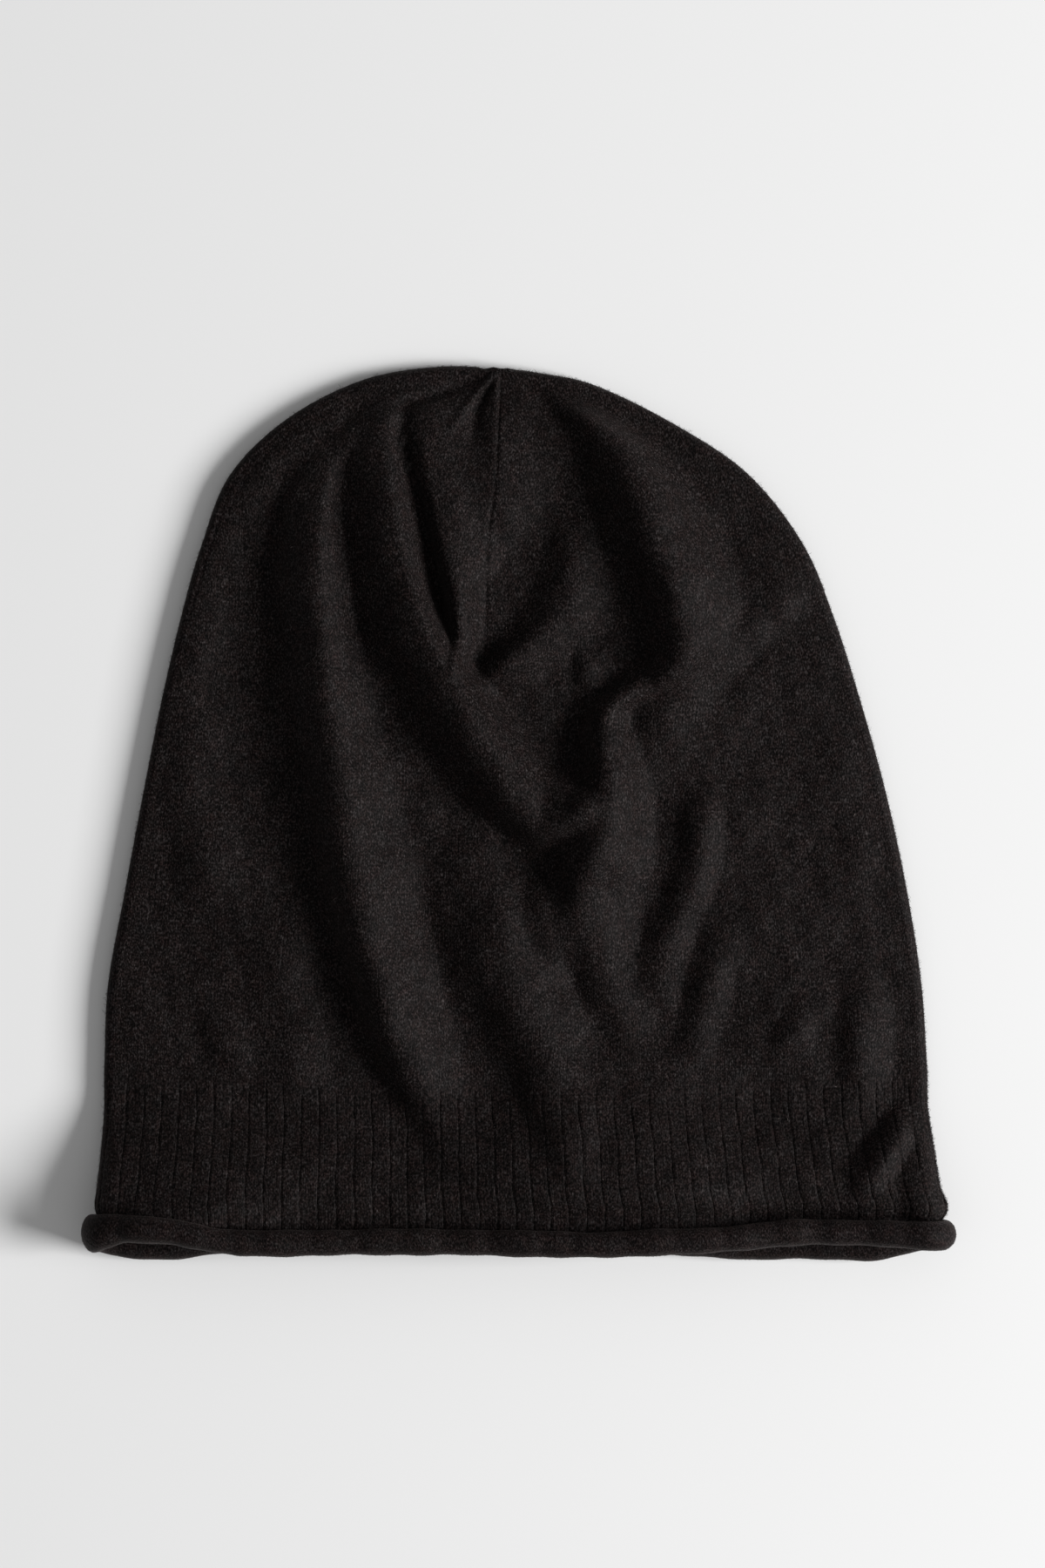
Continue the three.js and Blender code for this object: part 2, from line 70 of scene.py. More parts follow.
# The knit: wales right round, wales to a rib, and the height of one course. A rib's groove has a depth
# and a half width. The band runs from its top on the centre line down to the hem, and is widest a
# little above it.
WALES = 480
WALES_PER_RIB = 5
COURSE_HEIGHT = 0.85
RIB_COUNT = WALES // WALES_PER_RIB
RIB_DEPTH = 0.42
RIB_GROOVE = 0.2
BAND_TOP_Y = -81
BAND_WIDEST_Y = -118
HEM_Y = -126

# The rolled hem: middle radius of the outer turn and of the core, how far the cloth turns and where it
# tightens, in degrees, the straight neck before the turn, and the gap between the neck and the band.
ROLL_RADIUS = 3.25
ROLL_CORE_RADIUS = 1.25
ROLL_TURN = 396
ROLL_TIGHTENS = (230, 360)
ROLL_NECK = 1.4
HEM_GAP = 0.2

# How much taller the roll is at its left and right ends. Columns: x, share of its size, half width.
ROLL_SWELLS = [(-125, 0.5, 7), (127, 0.15, 9)]

# Near the hem the back layer climbs over the roll that is under it, and the front layer rises a
# little earlier, so that the mouth stands open. Each is the rise and the y where it starts and ends.
BACK_LIFT = (2 * ROLL_RADIUS, -103, -123)
FRONT_LIFT = (2 * ROLL_RADIUS + 2 * (MOUTH_SIDE_RADIUS - SIDE_RADIUS), -81, -119)

# The roll draws the band in: the front sinks in a narrow strip just above it on the right, and bulges
# there on the left. Columns: x, how deep it sinks.
HEM_DIP_Y = -120.5
HEM_DIP_WIDTH = 4.5
HEM_DIPS = [
    (-127, -1),
    (-113, -2.2),
    (-99, -1.4),
    (-88, 0),
    (-40, 0.5),
    (20, 1.8),
    (60, 2.6),
    (125, 2.6),
]

# Loose fibres on the knit: how many on each piece, and the radius of one. A cashmere fibre is 0.008 mm
# in radius, too fine to show, so a fibre stands for a wisp of several. Its length has limits, it lifts
# off and bends aside by shares of its length, and its root is sunk in the cloth. Fibres stand this much
# denser where the cloth is seen edge-on.
CROWN_FIBRES = 15000
BAND_FIBRES = 6000
BRIM_FIBRES = 6000
FIBRE_RADIUS = 0.045
FIBRE_LENGTHS = (0.4, 2.5)
FIBRE_LIFTS = (0.1, 0.7)
FIBRE_BENDS = (-0.35, 0.35)
FIBRE_ROOT = 0.15
EDGE_ON_DENSITY = 40

# Mesh density: strips round each side fold, across the front and across the back, then rows. The
# inside, which nobody sees, has one row for several of the outside.
CROWN_STRIPS = (12, 340, 84)
BAND_STRIPS = (12, 440, 440)
BRIM_STRIPS = (14, 300, 260)
CROWN_ROWS = 180
BAND_ROWS = 56
CROWN_ROWS_PER_INNER = 6
BAND_ROWS_PER_INNER = 5
STRIPS_PER_RIB = 12
ROLL_STEPS = 34

# The gathered tip, and the four lines of decreases that run up to it: where they start, how far round
# the side lines sit from the side folds, and the front line's drift to the left: how far, from y, to y.
# Along each line runs a groove between two welts. Columns: distance from the line, height, half width.
TIP = (-5.3, 132.5)
SEAM_FROM_Y = 58
SEAM_OFFSET = 3.0
SEAM_DRIFT = (3.2, 104, 74)
SEAM_SECTION = [(1.5, 0.06, 0.8), (0, -0.32, 0.38)]

# The last stitches stand out of the outline as a small nub with a dip on its left, above this y.
# Columns: x, height, half width. Fine pleats run out from them: how many, how high and how long.
TIP_NUB_FROM_Y = 128
TIP_NUB = [(-6.1, 1.4, 1.9), (-10.2, -0.5, 1.6)]
GATHER_PLEATS = 22
GATHER_HEIGHT = 0.14
GATHER_REACH = 3

# Course lines of the crown, from the top of the ribs to the tip, and the point they close in on.
# Columns: y on the centre line, x there, x and y of the left end, x and y of the right end.
COURSES = [
    (-81, -1.4, -124.3, -77, 122.6, -77),
    (-55, -2, -123.2, -52, 120.9, -52),
    (-25, -3, -118.2, -24, 116.6, -24),
    (5, -4, -112.6, 6, 110.2, 6),
    (32, -5.5, -107, 34, 102.4, 34),
    (55, -6.5, -101, 59.5, 94.2, 59.5),
    (75, -7, -94.6, 81.5, 84.6, 81.8),
    (90, -6.8, -86.2, 101.8, 68.2, 102.2),
    (103, -6.5, -69.4, 118.2, 46, 117),
    (115, -6, -46.5, 129.9, 22.4, 128.4),
    (125, -5.6, -24, 133.8, 6, 132),
    (133.4, -5.3, -5.3, 133.4, -5.3, 133.4),
]
CROWN_CENTRE_Y = -20

# Side outline of the band. Columns: y, left x, right x. It takes over from the crown's first course
# within this share of the band's length.
BAND_SIDES = [
    (-150, -124, 123.8),
    (-125.5, -124, 123.8),
    (-122.4, -124.3, 125.2),
    (-118, -126.4, 128),
    (-112, -126, 126.1),
    (-101, -125, 124.5),
    (-88, -124.2, 122.7),
    (-77, -124.3, 122.6),
]
COURSE_SHARE = 0.4

# Middle of the hem roll across the mouth. Columns: x, y on the front layer, y on the back layer.
HEM = [
    (-124, -125, -125),
    (-121, -123.8, -127.2),
    (-116, -123.1, -128.9),
    (-110, -123.2, -129.6),
    (-102, -123.8, -129.6),
    (-96, -124.9, -129),
    (-90, -126.3, -128.2),
    (-82, -127.2, -127.4),
    (-66, -127.4, -127.2),
    (-40, -127, -127.2),
    (0, -127.3, -127.2),
    (24, -127.7, -127.2),
    (39, -126.9, -127.8),
    (53, -126.5, -129),
    (67, -125.4, -129.8),
    (79, -124.3, -129.4),
    (97, -124.4, -130.1),
    (106, -124.6, -129.9),
    (114, -125, -128),
    (123.8, -125.5, -125.5),
]

# Soft folds of the front layer, one list of stations down each crest.
# Columns: y, x of the crest, height, width of the steep left flank, width of the right flank.
FOLDS = {
    "left_edge_lip": [
        (127, -44, 0, 4, 8),
        (112, -68, 2, 4, 16),
        (96, -82, 1.8, 4, 24),
        (72, -93, 1.6, 4, 28),
        (45, -101, 1.2, 5, 28),
        (12, -106, 0.6, 6, 24),
        (-20, -108, 0, 6, 20),
    ],
    "left_long": [
        (119, -48, 0, 8, 7),
        (102, -57.5, 3.6, 14, 6),
        (80, -60, 7.4, 15, 9.5),
        (40, -58, 8.8, 14, 15),
        (10, -54, 10.2, 13.5, 19),
        (-20, -50, 11.3, 12.5, 22),
        (-60, -39.5, 11.3, 11, 21),
        (-76, -33.5, 8.4, 11, 20),
        (-89, -27, 3.8, 10, 20),
        (-102, -20, 1.5, 9, 16),
        (-114, -15, 0, 8, 12),
    ],
    "middle_long": [
        (128, -37, 0, 8, 6),
        (116, -40, 3.2, 15, 6),
        (104, -39.5, 6.5, 17, 7),
        (80, -35.5, 10, 21, 8.5),
        (60, -30, 12.5, 24, 8),
        (38, -20, 13, 23, 13),
        (18, -9, 12, 22, 18),
        (4, -1, 10.5, 18, 24),
        (-4, 5, 8, 13, 20),
        (-9, 8, 4, 9, 14),
        (-13, 9, 0, 7, 9),
    ],
    "seam_crest": [
        (126, -29, 0, 7, 24),
        (113, -28, 4, 8, 34),
        (100, -26.5, 4.4, 5, 36),
        (82, -22.5, 6, 4.5, 26),
        (66, -19, 8, 4.5, 10),
        (52, -17.5, 7, 4, 7.5),
        (40, -19, 0, 3, 6),
    ],
    "pocket_diagonal": [
        (88, 14, 0, 8, 9),
        (76, 16.5, 3.6, 10, 11),
        (65, 15, 5, 14, 15),
        (54, 8, 5.6, 14, 19),
        (44, -4, 5, 10, 20),
        (35, -11, 0, 6, 16),
    ],
    "pocket_step": [(52, 19, 0, 4, 9), (43, 21, 2.2, 6, 9), (34, 22, 0, 6, 9)],
    "centre_ridge": [
        (48, 46, 0, 10, 14),
        (41, 39, 4, 11, 15),
        (36, 32, 6, 10, 12),
        (30, 26, 7.5, 8, 9),
        (20, 25.5, 9.5, 9, 12),
        (8, 26.5, 11, 12, 15),
        (-3, 25, 12, 14, 18),
        (-12, 23, 12, 15, 20),
        (-26, 18, 8, 10, 21),
        (-42, 22, 4.2, 11, 15),
        (-60, 29, 1.8, 10, 13),
        (-76, 34, 0, 8, 8),
    ],
    "tongue": [
        (15, 15, 0, 8, 9),
        (8, 16, 4, 10, 10),
        (2, 17, 6.5, 11, 10),
        (-3, 14, 5, 9, 10),
        (-8, 10, 0, 7, 8),
    ],
    "right_long": [
        (128, 8, 0, 8, 10),
        (114, 25, 7.2, 12, 17),
        (98, 35, 11.5, 17, 19),
        (80, 41.5, 12, 16, 24),
        (66, 46.5, 12, 15, 24),
        (50, 48.5, 9.5, 13, 15),
        (42, 46, 4, 10, 12),
        (34, 44, 0, 8, 10),
    ],
    "right_short": [
        (10, 55, 0, 8, 8),
        (-4, 55, 3, 9, 8),
        (-20, 52, 3.6, 10, 9),
        (-34, 46, 3.2, 10, 9),
        (-48, 42, 1.4, 8, 10),
        (-60, 44, 0, 8, 10),
    ],
    "right_faint": [
        (-30, 62, 0, 8, 8),
        (-48, 57.5, 2.5, 8, 9),
        (-64, 54, 1.9, 8, 9),
        (-78, 52, 0, 8, 9),
    ],
    "lower_long": [
        (-4, -16, 0, 14, 10),
        (-16, -10, 3.4, 20, 12),
        (-26, -7, 5.6, 24, 16),
        (-46, -3, 7.6, 23, 20),
        (-66, 4, 7.6, 18, 22),
        (-84, 10, 4.6, 13, 22),
        (-104, 15, 1.6, 9, 12),
        (-119, 18, 0, 8, 8),
    ],
    "right_dimple": [
        (-46, 104, 0, 7, 10),
        (-62, 102.5, 3.4, 9, 13),
        (-76, 101.5, 3, 9, 12),
        (-88, 104, 0, 8, 10),
    ],
    "right_dimple_inner": [(-54, 88, 0, 7, 8), (-66, 82, 2.1, 8, 9), (-77, 77, 0, 8, 8)],
    "corner_tuck": [
        (-84, 121, 0, 8, 5),
        (-94, 115, 4.2, 9, 9),
        (-105, 107, 3.8, 10, 9),
        (-115, 103, 0, 6, 7),
    ],
    "corner_edge": [(-98, 122, 0, 7, 3), (-108, 122, 2.5, 9, 4), (-120, 123, 3, 10, 4)],
    "left_swell": [(14, -98, 0, 10, 14), (-14, -95, 1.8, 12, 16), (-38, -90, 0, 12, 16)],
    "left_swell_low": [
        (-26, -78, 0, 10, 14),
        (-46, -70, 2.2, 15, 12),
        (-66, -67, 1.7, 18, 12),
        (-84, -64, 0.9, 16, 12),
        (-98, -62, 0, 12, 10),
    ],
    "left_dent": [(-54, -90, 0, 9, 12), (-66, -88, 2.2, 10, 12), (-80, -84, 0, 10, 12)],
    "right_swell": [
        (34, 92, 0, 16, 12),
        (5, 99, 0.9, 22, 10),
        (-30, 102, 0.8, 22, 9),
        (-58, 104, 0, 14, 9),
    ],
    "right_slant": [
        (80, 90, 0, 20, 12),
        (68, 81, 1.8, 22, 14),
        (54, 66, 3.2, 24, 16),
        (42, 52, 3.6, 20, 16),
        (30, 43, 3, 20, 18),
        (16, 38, 1.6, 16, 20),
        (2, 36, 0, 12, 14),
    ],
    "band_swell": [
        (-66, 26, 0, 24, 50),
        (-80, 27, 4, 44, 52),
        (-96, 30, 6.6, 72, 56),
        (-112, 33, 6.2, 84, 58),
        (-128, 35, 3, 84, 60),
        (-144, 35, 0, 84, 60),
    ],
    "cup_floor": [(-18, 8, 0, 6, 6), (-27, 8, 4.4, 9, 9), (-40, 11, 3.2, 9, 9), (-52, 13, 0, 8, 8)],
    "top_swell": [
        (128, -6, 0, 8, 12),
        (117, -5, 2.8, 10, 20),
        (104, -4, 3, 12, 20),
        (92, -3, 2, 12, 16),
        (80, -2, 0, 10, 14),
    ],
    "left_hollow": [
        (112, -62, 0, 10, 6),
        (96, -72, -2, 18, 8),
        (72, -77, -3, 26, 10),
        (45, -79, -3, 26, 10),
        (12, -77, -2.2, 26, 10),
        (-15, -72, -1, 24, 10),
        (-35, -68, 0, 16, 8),
    ],
    "mouth_swell": [
        (-92, -90, 0, 28, 30),
        (-106, -90, 2.4, 34, 40),
        (-120, -90, 2.6, 36, 40),
        (-136, -90, 0, 36, 40),
    ],
}

# Small pleats where the cloth is drawn up into the tip, as the folds are given. A valley is negative.
TIP_PLEATS = {
    "top_valley": [
        (133, -8, 0, 6, 6),
        (130, -14, -1.1, 8, 7),
        (126.5, -22, -1.4, 9, 9),
        (123, -31, -1.2, 9, 10),
        (119, -38, 0, 7, 9),
    ],
    "slant_ridge": [
        (133, -7, 0, 2, 3),
        (128, -10.5, 1.0, 2.5, 2.5),
        (121, -16, 1.0, 3, 3),
        (111, -22, 0, 3, 3),
    ],
    "slant_valley": [
        (130, -7, 0, 2, 2),
        (125.5, -10, -1.2, 2.5, 2.5),
        (118, -12.5, -1.0, 3, 3),
        (111, -13, 0, 3, 3),
    ],
    "seam_pleat": [
        (132, -6.5, 0, 1.5, 1.5),
        (128, -6.8, 0.8, 1.8, 1.8),
        (123, -7, 0.5, 1.8, 1.8),
        (118, -7, 0, 1.5, 1.5),
    ],
    "right_pleat": [(131, -1, 0, 3, 5), (126, 5, -0.7, 4, 6), (120, 11, 0, 4, 6)],
}

# Soft unevenness of knitted cloth. Columns: wavelength, direction in degrees, height, phase.
UNEVENNESS = [
    (47, 20, 0.34, 0.4),
    (31, 118, 0.26, 1.9),
    (23, 71, 0.2, 3.1),
    (17, 152, 0.14, 5.2),
    (12.5, 37, 0.1, 0.9),
    (9.5, 96, 0.08, 2.6),
    (7.6, 10, 0.06, 4.4),
    (6.3, 138, 0.05, 1.2),
    (5.2, 64, 0.035, 3.7),
]

# The yarn: two near-black dyes that mix at random, the warmer one also painted on the darker fuzz as
# painted shade and the cooler one on bright flecks as painted glints, the number of flecks of fuzz to a
# metre, how much painted shade darkens a stitch between its legs, the mean height of a stitch as a share
# of its highest, and the reliefs in millimetres.
WARM_SHADE_BLACK = "#160e0d"
COOL_GLINT_BLACK = "#121010"
FLECKS_PER_METRE = 2300.0
STITCH_PAINTED_SHADE = 0.6
STITCH_MEAN = 0.6
FUZZ_RELIEF = 0.12
STITCH_RELIEF = 0.06

MATH = "ShaderNodeMath"
NOISE = "ShaderNodeTexNoise"

# The photograph's frame, in pixels, and the size of one of them on the table.
FRAME_PIXELS = (1200, 1800)
PIXEL = 0.26
HAT_CENTRE_PIXEL = (595.5, 933.5)


def ease_step(value):
    """Rises from 0 to 1, level at both ends: three times t squared less twice t cubed."""
    t = np.clip(value, 0, 1)
    return t * t * (3 - 2 * t)


def follow_table(rows, place):
    """A smooth curve through a table's rows: the first column is the place, the rest are values.

    Between two rows each value is the cubic that has the rows' values and their mean slopes.
    """
    table = np.array(rows, float)
    if table[0, 0] > table[-1, 0]:
        table = table[::-1]
    at, values = table[:, 0], table[:, 1:]
    slopes = np.empty_like(values)
    slopes[1:-1] = (values[2:] - values[:-2]) / (at[2:] - at[:-2])[:, None]
    slopes[0] = (values[1] - values[0]) / (at[1] - at[0])
    slopes[-1] = (values[-1] - values[-2]) / (at[-1] - at[-2])
    place = np.clip(place, at[0], at[-1])
    row = np.clip(np.searchsorted(at, place, side="right") - 1, 0, len(at) - 2)
    span = (at[row + 1] - at[row])[..., None]
    t = (place - at[row])[..., None] / span
    curve = (
        (2 * t**3 - 3 * t**2 + 1) * values[row]
        + (t**3 - 2 * t**2 + t) * span * slopes[row]
        + (3 * t**2 - 2 * t**3) * values[row + 1]
        + (t**3 - t**2) * span * slopes[row + 1]
    )
    return np.moveaxis(curve, -1, 0)


def bells(rows, place):
    """A sum of bell curves. Each row gives the middle of one, its height and its half width."""
    return sum(height * np.exp(-(((place - middle) / width) ** 2)) for middle, height, width in rows)


def wave(place, wavelength, phase):
    """A sine wave along a line."""
    return np.sin(2 * np.pi * place / wavelength + phase)


def inside_half_wall(x, y):
    """The middle surface's outline lies half a wall inside the outline of the cloth.

    It is drawn in towards a point low in the crown, and straight across below that point.
    """
    up = np.maximum(0, y - CROWN_CENTRE_Y)
    shrink = CROWN_WALL / 2 / np.hypot(x, up)
    return x - x * shrink, y - up * shrink


def plan_on_course(centre_y, across):
    """Plan of a course line: x runs straight from the centre to each end, y follows a cosine arc."""
    centre_x, left_x, left_y, right_x, right_y = follow_table(COURSES, centre_y)
    left_x, left_y = inside_half_wall(left_x, left_y)
    right_x, right_y = inside_half_wall(right_x, right_y)
    is_left = across < 0
    x = centre_x + across * np.where(is_left, centre_x - left_x, right_x - centre_x)
    end_y = np.where(is_left, left_y, right_y)
    return x, end_y + (centre_y - end_y) * np.cos(np.pi / 2 * across)


def plan_on_band(down, across, is_back):
    """Plan of a row of the band: it slides from the crown's first course to the line of the roll.

    The top row lies on that course, so that the two pieces meet. The outline draws in above the roll,
    and only the cloth next to it follows.
    """
    top_x, top_y = plan_on_course(np.full_like(across, BAND_TOP_Y), across)
    hem_left, hem_right = HEM[0][0], HEM[-1][0]
    hem_x = (hem_left + hem_right) / 2 + (hem_right - hem_left) / 2 * across
    front_y, back_y = follow_table(HEM, hem_x)
    y = top_y + (np.where(is_back, back_y, front_y) - top_y) * down
    wide_left, wide_right = follow_table(BAND_SIDES, np.maximum(y, BAND_WIDEST_Y))
    left, right = follow_table(BAND_SIDES, y)
    drawn_in = np.where(across < 0, left - wide_left, right - wide_right) * across**10
    half = (wide_right - wide_left) / 2 - CROWN_WALL / 2
    x = (wide_left + wide_right) / 2 + half * across + drawn_in
    return top_x + (x - top_x) * ease_step(down / COURSE_SHARE), y


def outline_in_plan():
    """The outline as points, up the left side, over the tip and down the right side."""
    sides = np.array(BAND_SIDES, float)
    ends = np.linspace(BAND_TOP_Y, COURSES[-1][0], 90)[1:]
    left = np.stack(plan_on_course(ends, np.full_like(ends, -1)), axis=1)
    right = np.stack(plan_on_course(ends, np.full_like(ends, 1)), axis=1)
    low_left = np.stack([sides[:, 1] + CROWN_WALL / 2, sides[:, 0]], axis=1)
    low_right = np.stack([sides[:, 2] - CROWN_WALL / 2, sides[:, 0]], axis=1)
    return np.vstack([low_left, left, right[::-1], low_right[::-1]])


OUTLINE = outline_in_plan()


def distance_inside(x, y):
    """Shortest distance in plan from each place to the outline."""
    best = np.full(x.shape, np.inf)
    for (ax, ay), (bx, by) in zip(OUTLINE[:-1], OUTLINE[1:]):
        length_squared = (bx - ax) ** 2 + (by - ay) ** 2
        if length_squared > 0:
            along = np.clip(((x - ax) * (bx - ax) + (y - ay) * (by - ay)) / length_squared, 0, 1)
            best = np.minimum(best, np.hypot(x - ax - along * (bx - ax), y - ay - along * (by - ay)))
    return best


def fold_height(folds, x, y):
    """Each fold is a bump across its crest line, half a cosine wave down each flank; they add up."""
    height = np.zeros_like(x)
    for stations in folds.values():
        crest_x, crest_height, left_width, right_width = follow_table(stations, y)
        away = np.where(x < crest_x, (crest_x - x) / left_width, (x - crest_x) / right_width)
        bump = crest_height * (0.5 + 0.5 * np.cos(np.pi * np.clip(away, 0, 1)))
        height += np.where((y < stations[0][0]) & (y > stations[-1][0]), bump, 0)
    return height


def unevenness(x, y):
    """Long shallow waves in several directions, so that no stretch of cloth is quite flat."""
    height = np.zeros_like(x)
    for wavelength, direction, amount, phase in UNEVENNESS:
        a = math.radians(direction)
        height += amount * wave(x * math.cos(a) + y * math.sin(a), wavelength, phase)
    return height


def hem_dip(x, y):
    """How deep the front sinks just above the roll: a bell curve along y."""
    (depth,) = follow_table(HEM_DIPS, x)
    return bells([(HEM_DIP_Y, depth, HEM_DIP_WIDTH)], y)


def so_far(change, y):
    """How much of a change has happened at y: it grows from nothing to its amount between two places."""
    amount, from_y, to_y = change
    return amount * ease_step((from_y - y) / (from_y - to_y))


def on_cloth(x, y, is_back):
    """The middle surface: a flat back layer, a round side fold and a puffed, folded front layer.

    Within one radius of the outline the height follows a quarter circle, up to the front or down to the
    back. Puff, folds and unevenness add to the front, and grow from nothing at the outline. Where the
    front sinks it comes to rest on the back layer instead of passing through it.
    """
    back_z = CROWN_WALL / 2 + so_far(BACK_LIFT, y)
    front_lift = so_far(FRONT_LIFT, y)
    radius = (CROWN_WALL / 2 + 2 * SIDE_RADIUS + front_lift - back_z) / 2
    inside = distance_inside(x, y)
    rounding = radius * np.sqrt(1 - (1 - np.clip(inside / radius, 0, 1)) ** 2)
    puff = PUFF * ease_step(inside / PUFF_REACH) * (1 - front_lift / FRONT_LIFT[0])
    folds = (fold_height(FOLDS, x, y) + unevenness(x, y) - hem_dip(x, y)) * ease_step(inside / FOLD_EASE)
    above_back = radius + rounding + puff + folds - CROWN_WALL - LAYER_GAP
    resting = CROWN_WALL + LAYER_GAP + (above_back + np.sqrt(above_back**2 + LANDING_EASE)) / 2
    front = np.where(inside > 2 * radius, resting, radius + rounding + puff + folds)
    return np.stack([x, y, back_z + np.where(is_back, radius - rounding, front)], axis=-1)


def tube_columns(turn_strips, front_strips, back_strips):
    """Places round the flattened tube: evenly turned round each side fold, even across each layer."""
    turn = MOUTH_SIDE_RADIUS / WIDEST_HALF * (1 - np.cos(np.linspace(0, np.pi / 2, turn_strips + 1)))
    flat = 1 - turn[-1]

    def layer(strips):
        return np.concatenate([turn[:-1] - 1, np.linspace(-flat, flat, strips + 1), 1 - turn[-2:0:-1]])

    front, back = layer(front_strips), -layer(back_strips)
    return np.concatenate([front, back]), np.repeat([False, True], [len(front), len(back)])


def arc_along_rings(rings):
    """Distance walked round each ring from its first point, with the full girth as a last column."""
    closed = np.concatenate([rings, rings[:, :1]], axis=1)
    steps = np.linalg.norm(np.diff(closed, axis=1), axis=2)
    return np.concatenate([np.zeros((len(rings), 1)), np.cumsum(steps, axis=1)], axis=1)


def ring_normals(rings):
    """Unit normals: across the rings times up the rings, from the neighbours of each point."""
    round_ring = np.roll(rings, -1, axis=1) - np.roll(rings, 1, axis=1)
    up_rings = np.gradient(rings, axis=0)
    normals = np.cross(round_ring, up_rings)
    return normals / np.maximum(np.linalg.norm(normals, axis=2, keepdims=True), 1e-9)


def square_to_joint(normals, rows):
    """Cuts a wall's end square to the tube, so that the faces of two pieces meet along one line.

    The rows' normals lose their y and grow by what the slope takes, which keeps the wall's thickness.
    """
    level = normals[rows] * [1, 0, 1]
    normals[rows] = level / (level**2).sum(axis=-1, keepdims=True)
    return normals


def grid_quads(rows, columns, first, closed_rows=False, flip=False):
    """Corner numbers of the quads of a grid that is closed round its columns."""
    last = rows if closed_rows else rows - 1
    row, column = np.meshgrid(np.arange(last), np.arange(columns), indexing="ij")
    after, above = (column + 1) % columns, (row + 1) % rows
    here, above_here = row * columns, above * columns
    corners = [here + column, here + after, above_here + after, above_here + column]
    if flip:
        corners = corners[::-1]
    return np.stack(corners, axis=-1).reshape(-1, 4) + first


def make_piece(name, points, quads, triangles=(), corner_uv=None, flat_quads=()):
    """A mesh object from whole arrays, in millimetres, shaded smooth, with its stitches as UVs."""
    triangles = np.array(triangles, int).reshape(-1, 3)
    corners = np.concatenate([quads.ravel(), triangles.ravel()])
    sizes = np.concatenate([np.full(len(quads), 4), np.full(len(triangles), 3)])
    mesh = bpy.data.meshes.new(name)
    mesh.vertices.add(len(points))
    mesh.vertices.foreach_set("co", (points * MM).astype(np.float32).ravel())
    mesh.loops.add(len(corners))
    mesh.loops.foreach_set("vertex_index", corners.astype(np.int32))
    mesh.polygons.add(len(sizes))
    mesh.polygons.foreach_set("loop_start", (np.cumsum(sizes) - sizes).astype(np.int32))
    smooth = np.ones(len(sizes), bool)
    smooth[list(flat_quads)] = False
    mesh.polygons.foreach_set("use_smooth", smooth)
    if corner_uv is not None:
        layer = mesh.uv_layers.new(name="stitches")
        filled = np.zeros((len(corners), 2), np.float32)
        filled[: len(corner_uv)] = corner_uv
        layer.data.foreach_set("uv", filled.ravel())
    mesh.update(calc_edges=True)
    mesh.validate()
    piece = bpy.data.objects.new(name, mesh)
    bpy.context.scene.collection.objects.link(piece)
    return piece


def shell(outer, inner, tips=None):
    """Closes a tube-shaped wall: outer grid, inner grid, the rim at the mouth and a rim or two tips."""
    rows, columns = outer.shape[:2]
    inner_rows = len(inner)
    first_inner = rows * columns
    points = [outer.reshape(-1, 3), inner.reshape(-1, 3)]
    here = np.arange(columns)
    after = (here + 1) % columns
    quads = [
        grid_quads(rows, columns, 0),
        grid_quads(inner_rows, columns, first_inner, flip=True),
        np.stack([first_inner + here, first_inner + after, after, here], axis=1),
    ]
    first_rim = len(quads[0]) + len(quads[1])
    triangles = np.zeros((0, 3), int)
    top, inner_top = (rows - 1) * columns, first_inner + (inner_rows - 1) * columns
    if tips is None:
        quads.append(np.stack([top + here, top + after, inner_top + after, inner_top + here], axis=1))
    else:
        points.append(tips)
        peak = first_inner + inner_rows * columns
        triangles = np.concatenate([
            np.stack([top + here, top + after, np.full(columns, peak)], axis=1),
            np.stack([inner_top + after, inner_top + here, np.full(columns, peak + 1)], axis=1),
        ])
    quads = np.concatenate(quads)
    return np.concatenate(points), quads, triangles, range(first_rim, len(quads))


def quad_corners(grid):
    """The values of a grid of points at the four corners of each of its quads."""
    return np.stack([grid[:-1, :-1], grid[:-1, 1:], grid[1:, 1:], grid[1:, :-1]], axis=-1)


def courses_up(rings):
    """Count of knitted courses up to each ring, from the mean distance between the rings."""
    gaps = np.linalg.norm(np.diff(rings, axis=0), axis=2).mean(axis=1)
    return np.concatenate([[0], np.cumsum(gaps)]) / COURSE_HEIGHT


def seam_places(arc, y, front_column, right_column, back_column):
    """Arc places of the four lines of decreases: left side, front, right side, back, left again.

    The front line drifts a little to the left as the cloth slumps over it.
    """
    girth = arc[:, -1]
    offset = np.minimum(SEAM_OFFSET, 0.03 * girth)
    return np.stack([
        offset,
        arc[:, front_column] - so_far(SEAM_DRIFT, y[:, front_column]),
        arc[:, right_column] + offset,
        arc[:, back_column],
        girth + offset,
    ], axis=1)


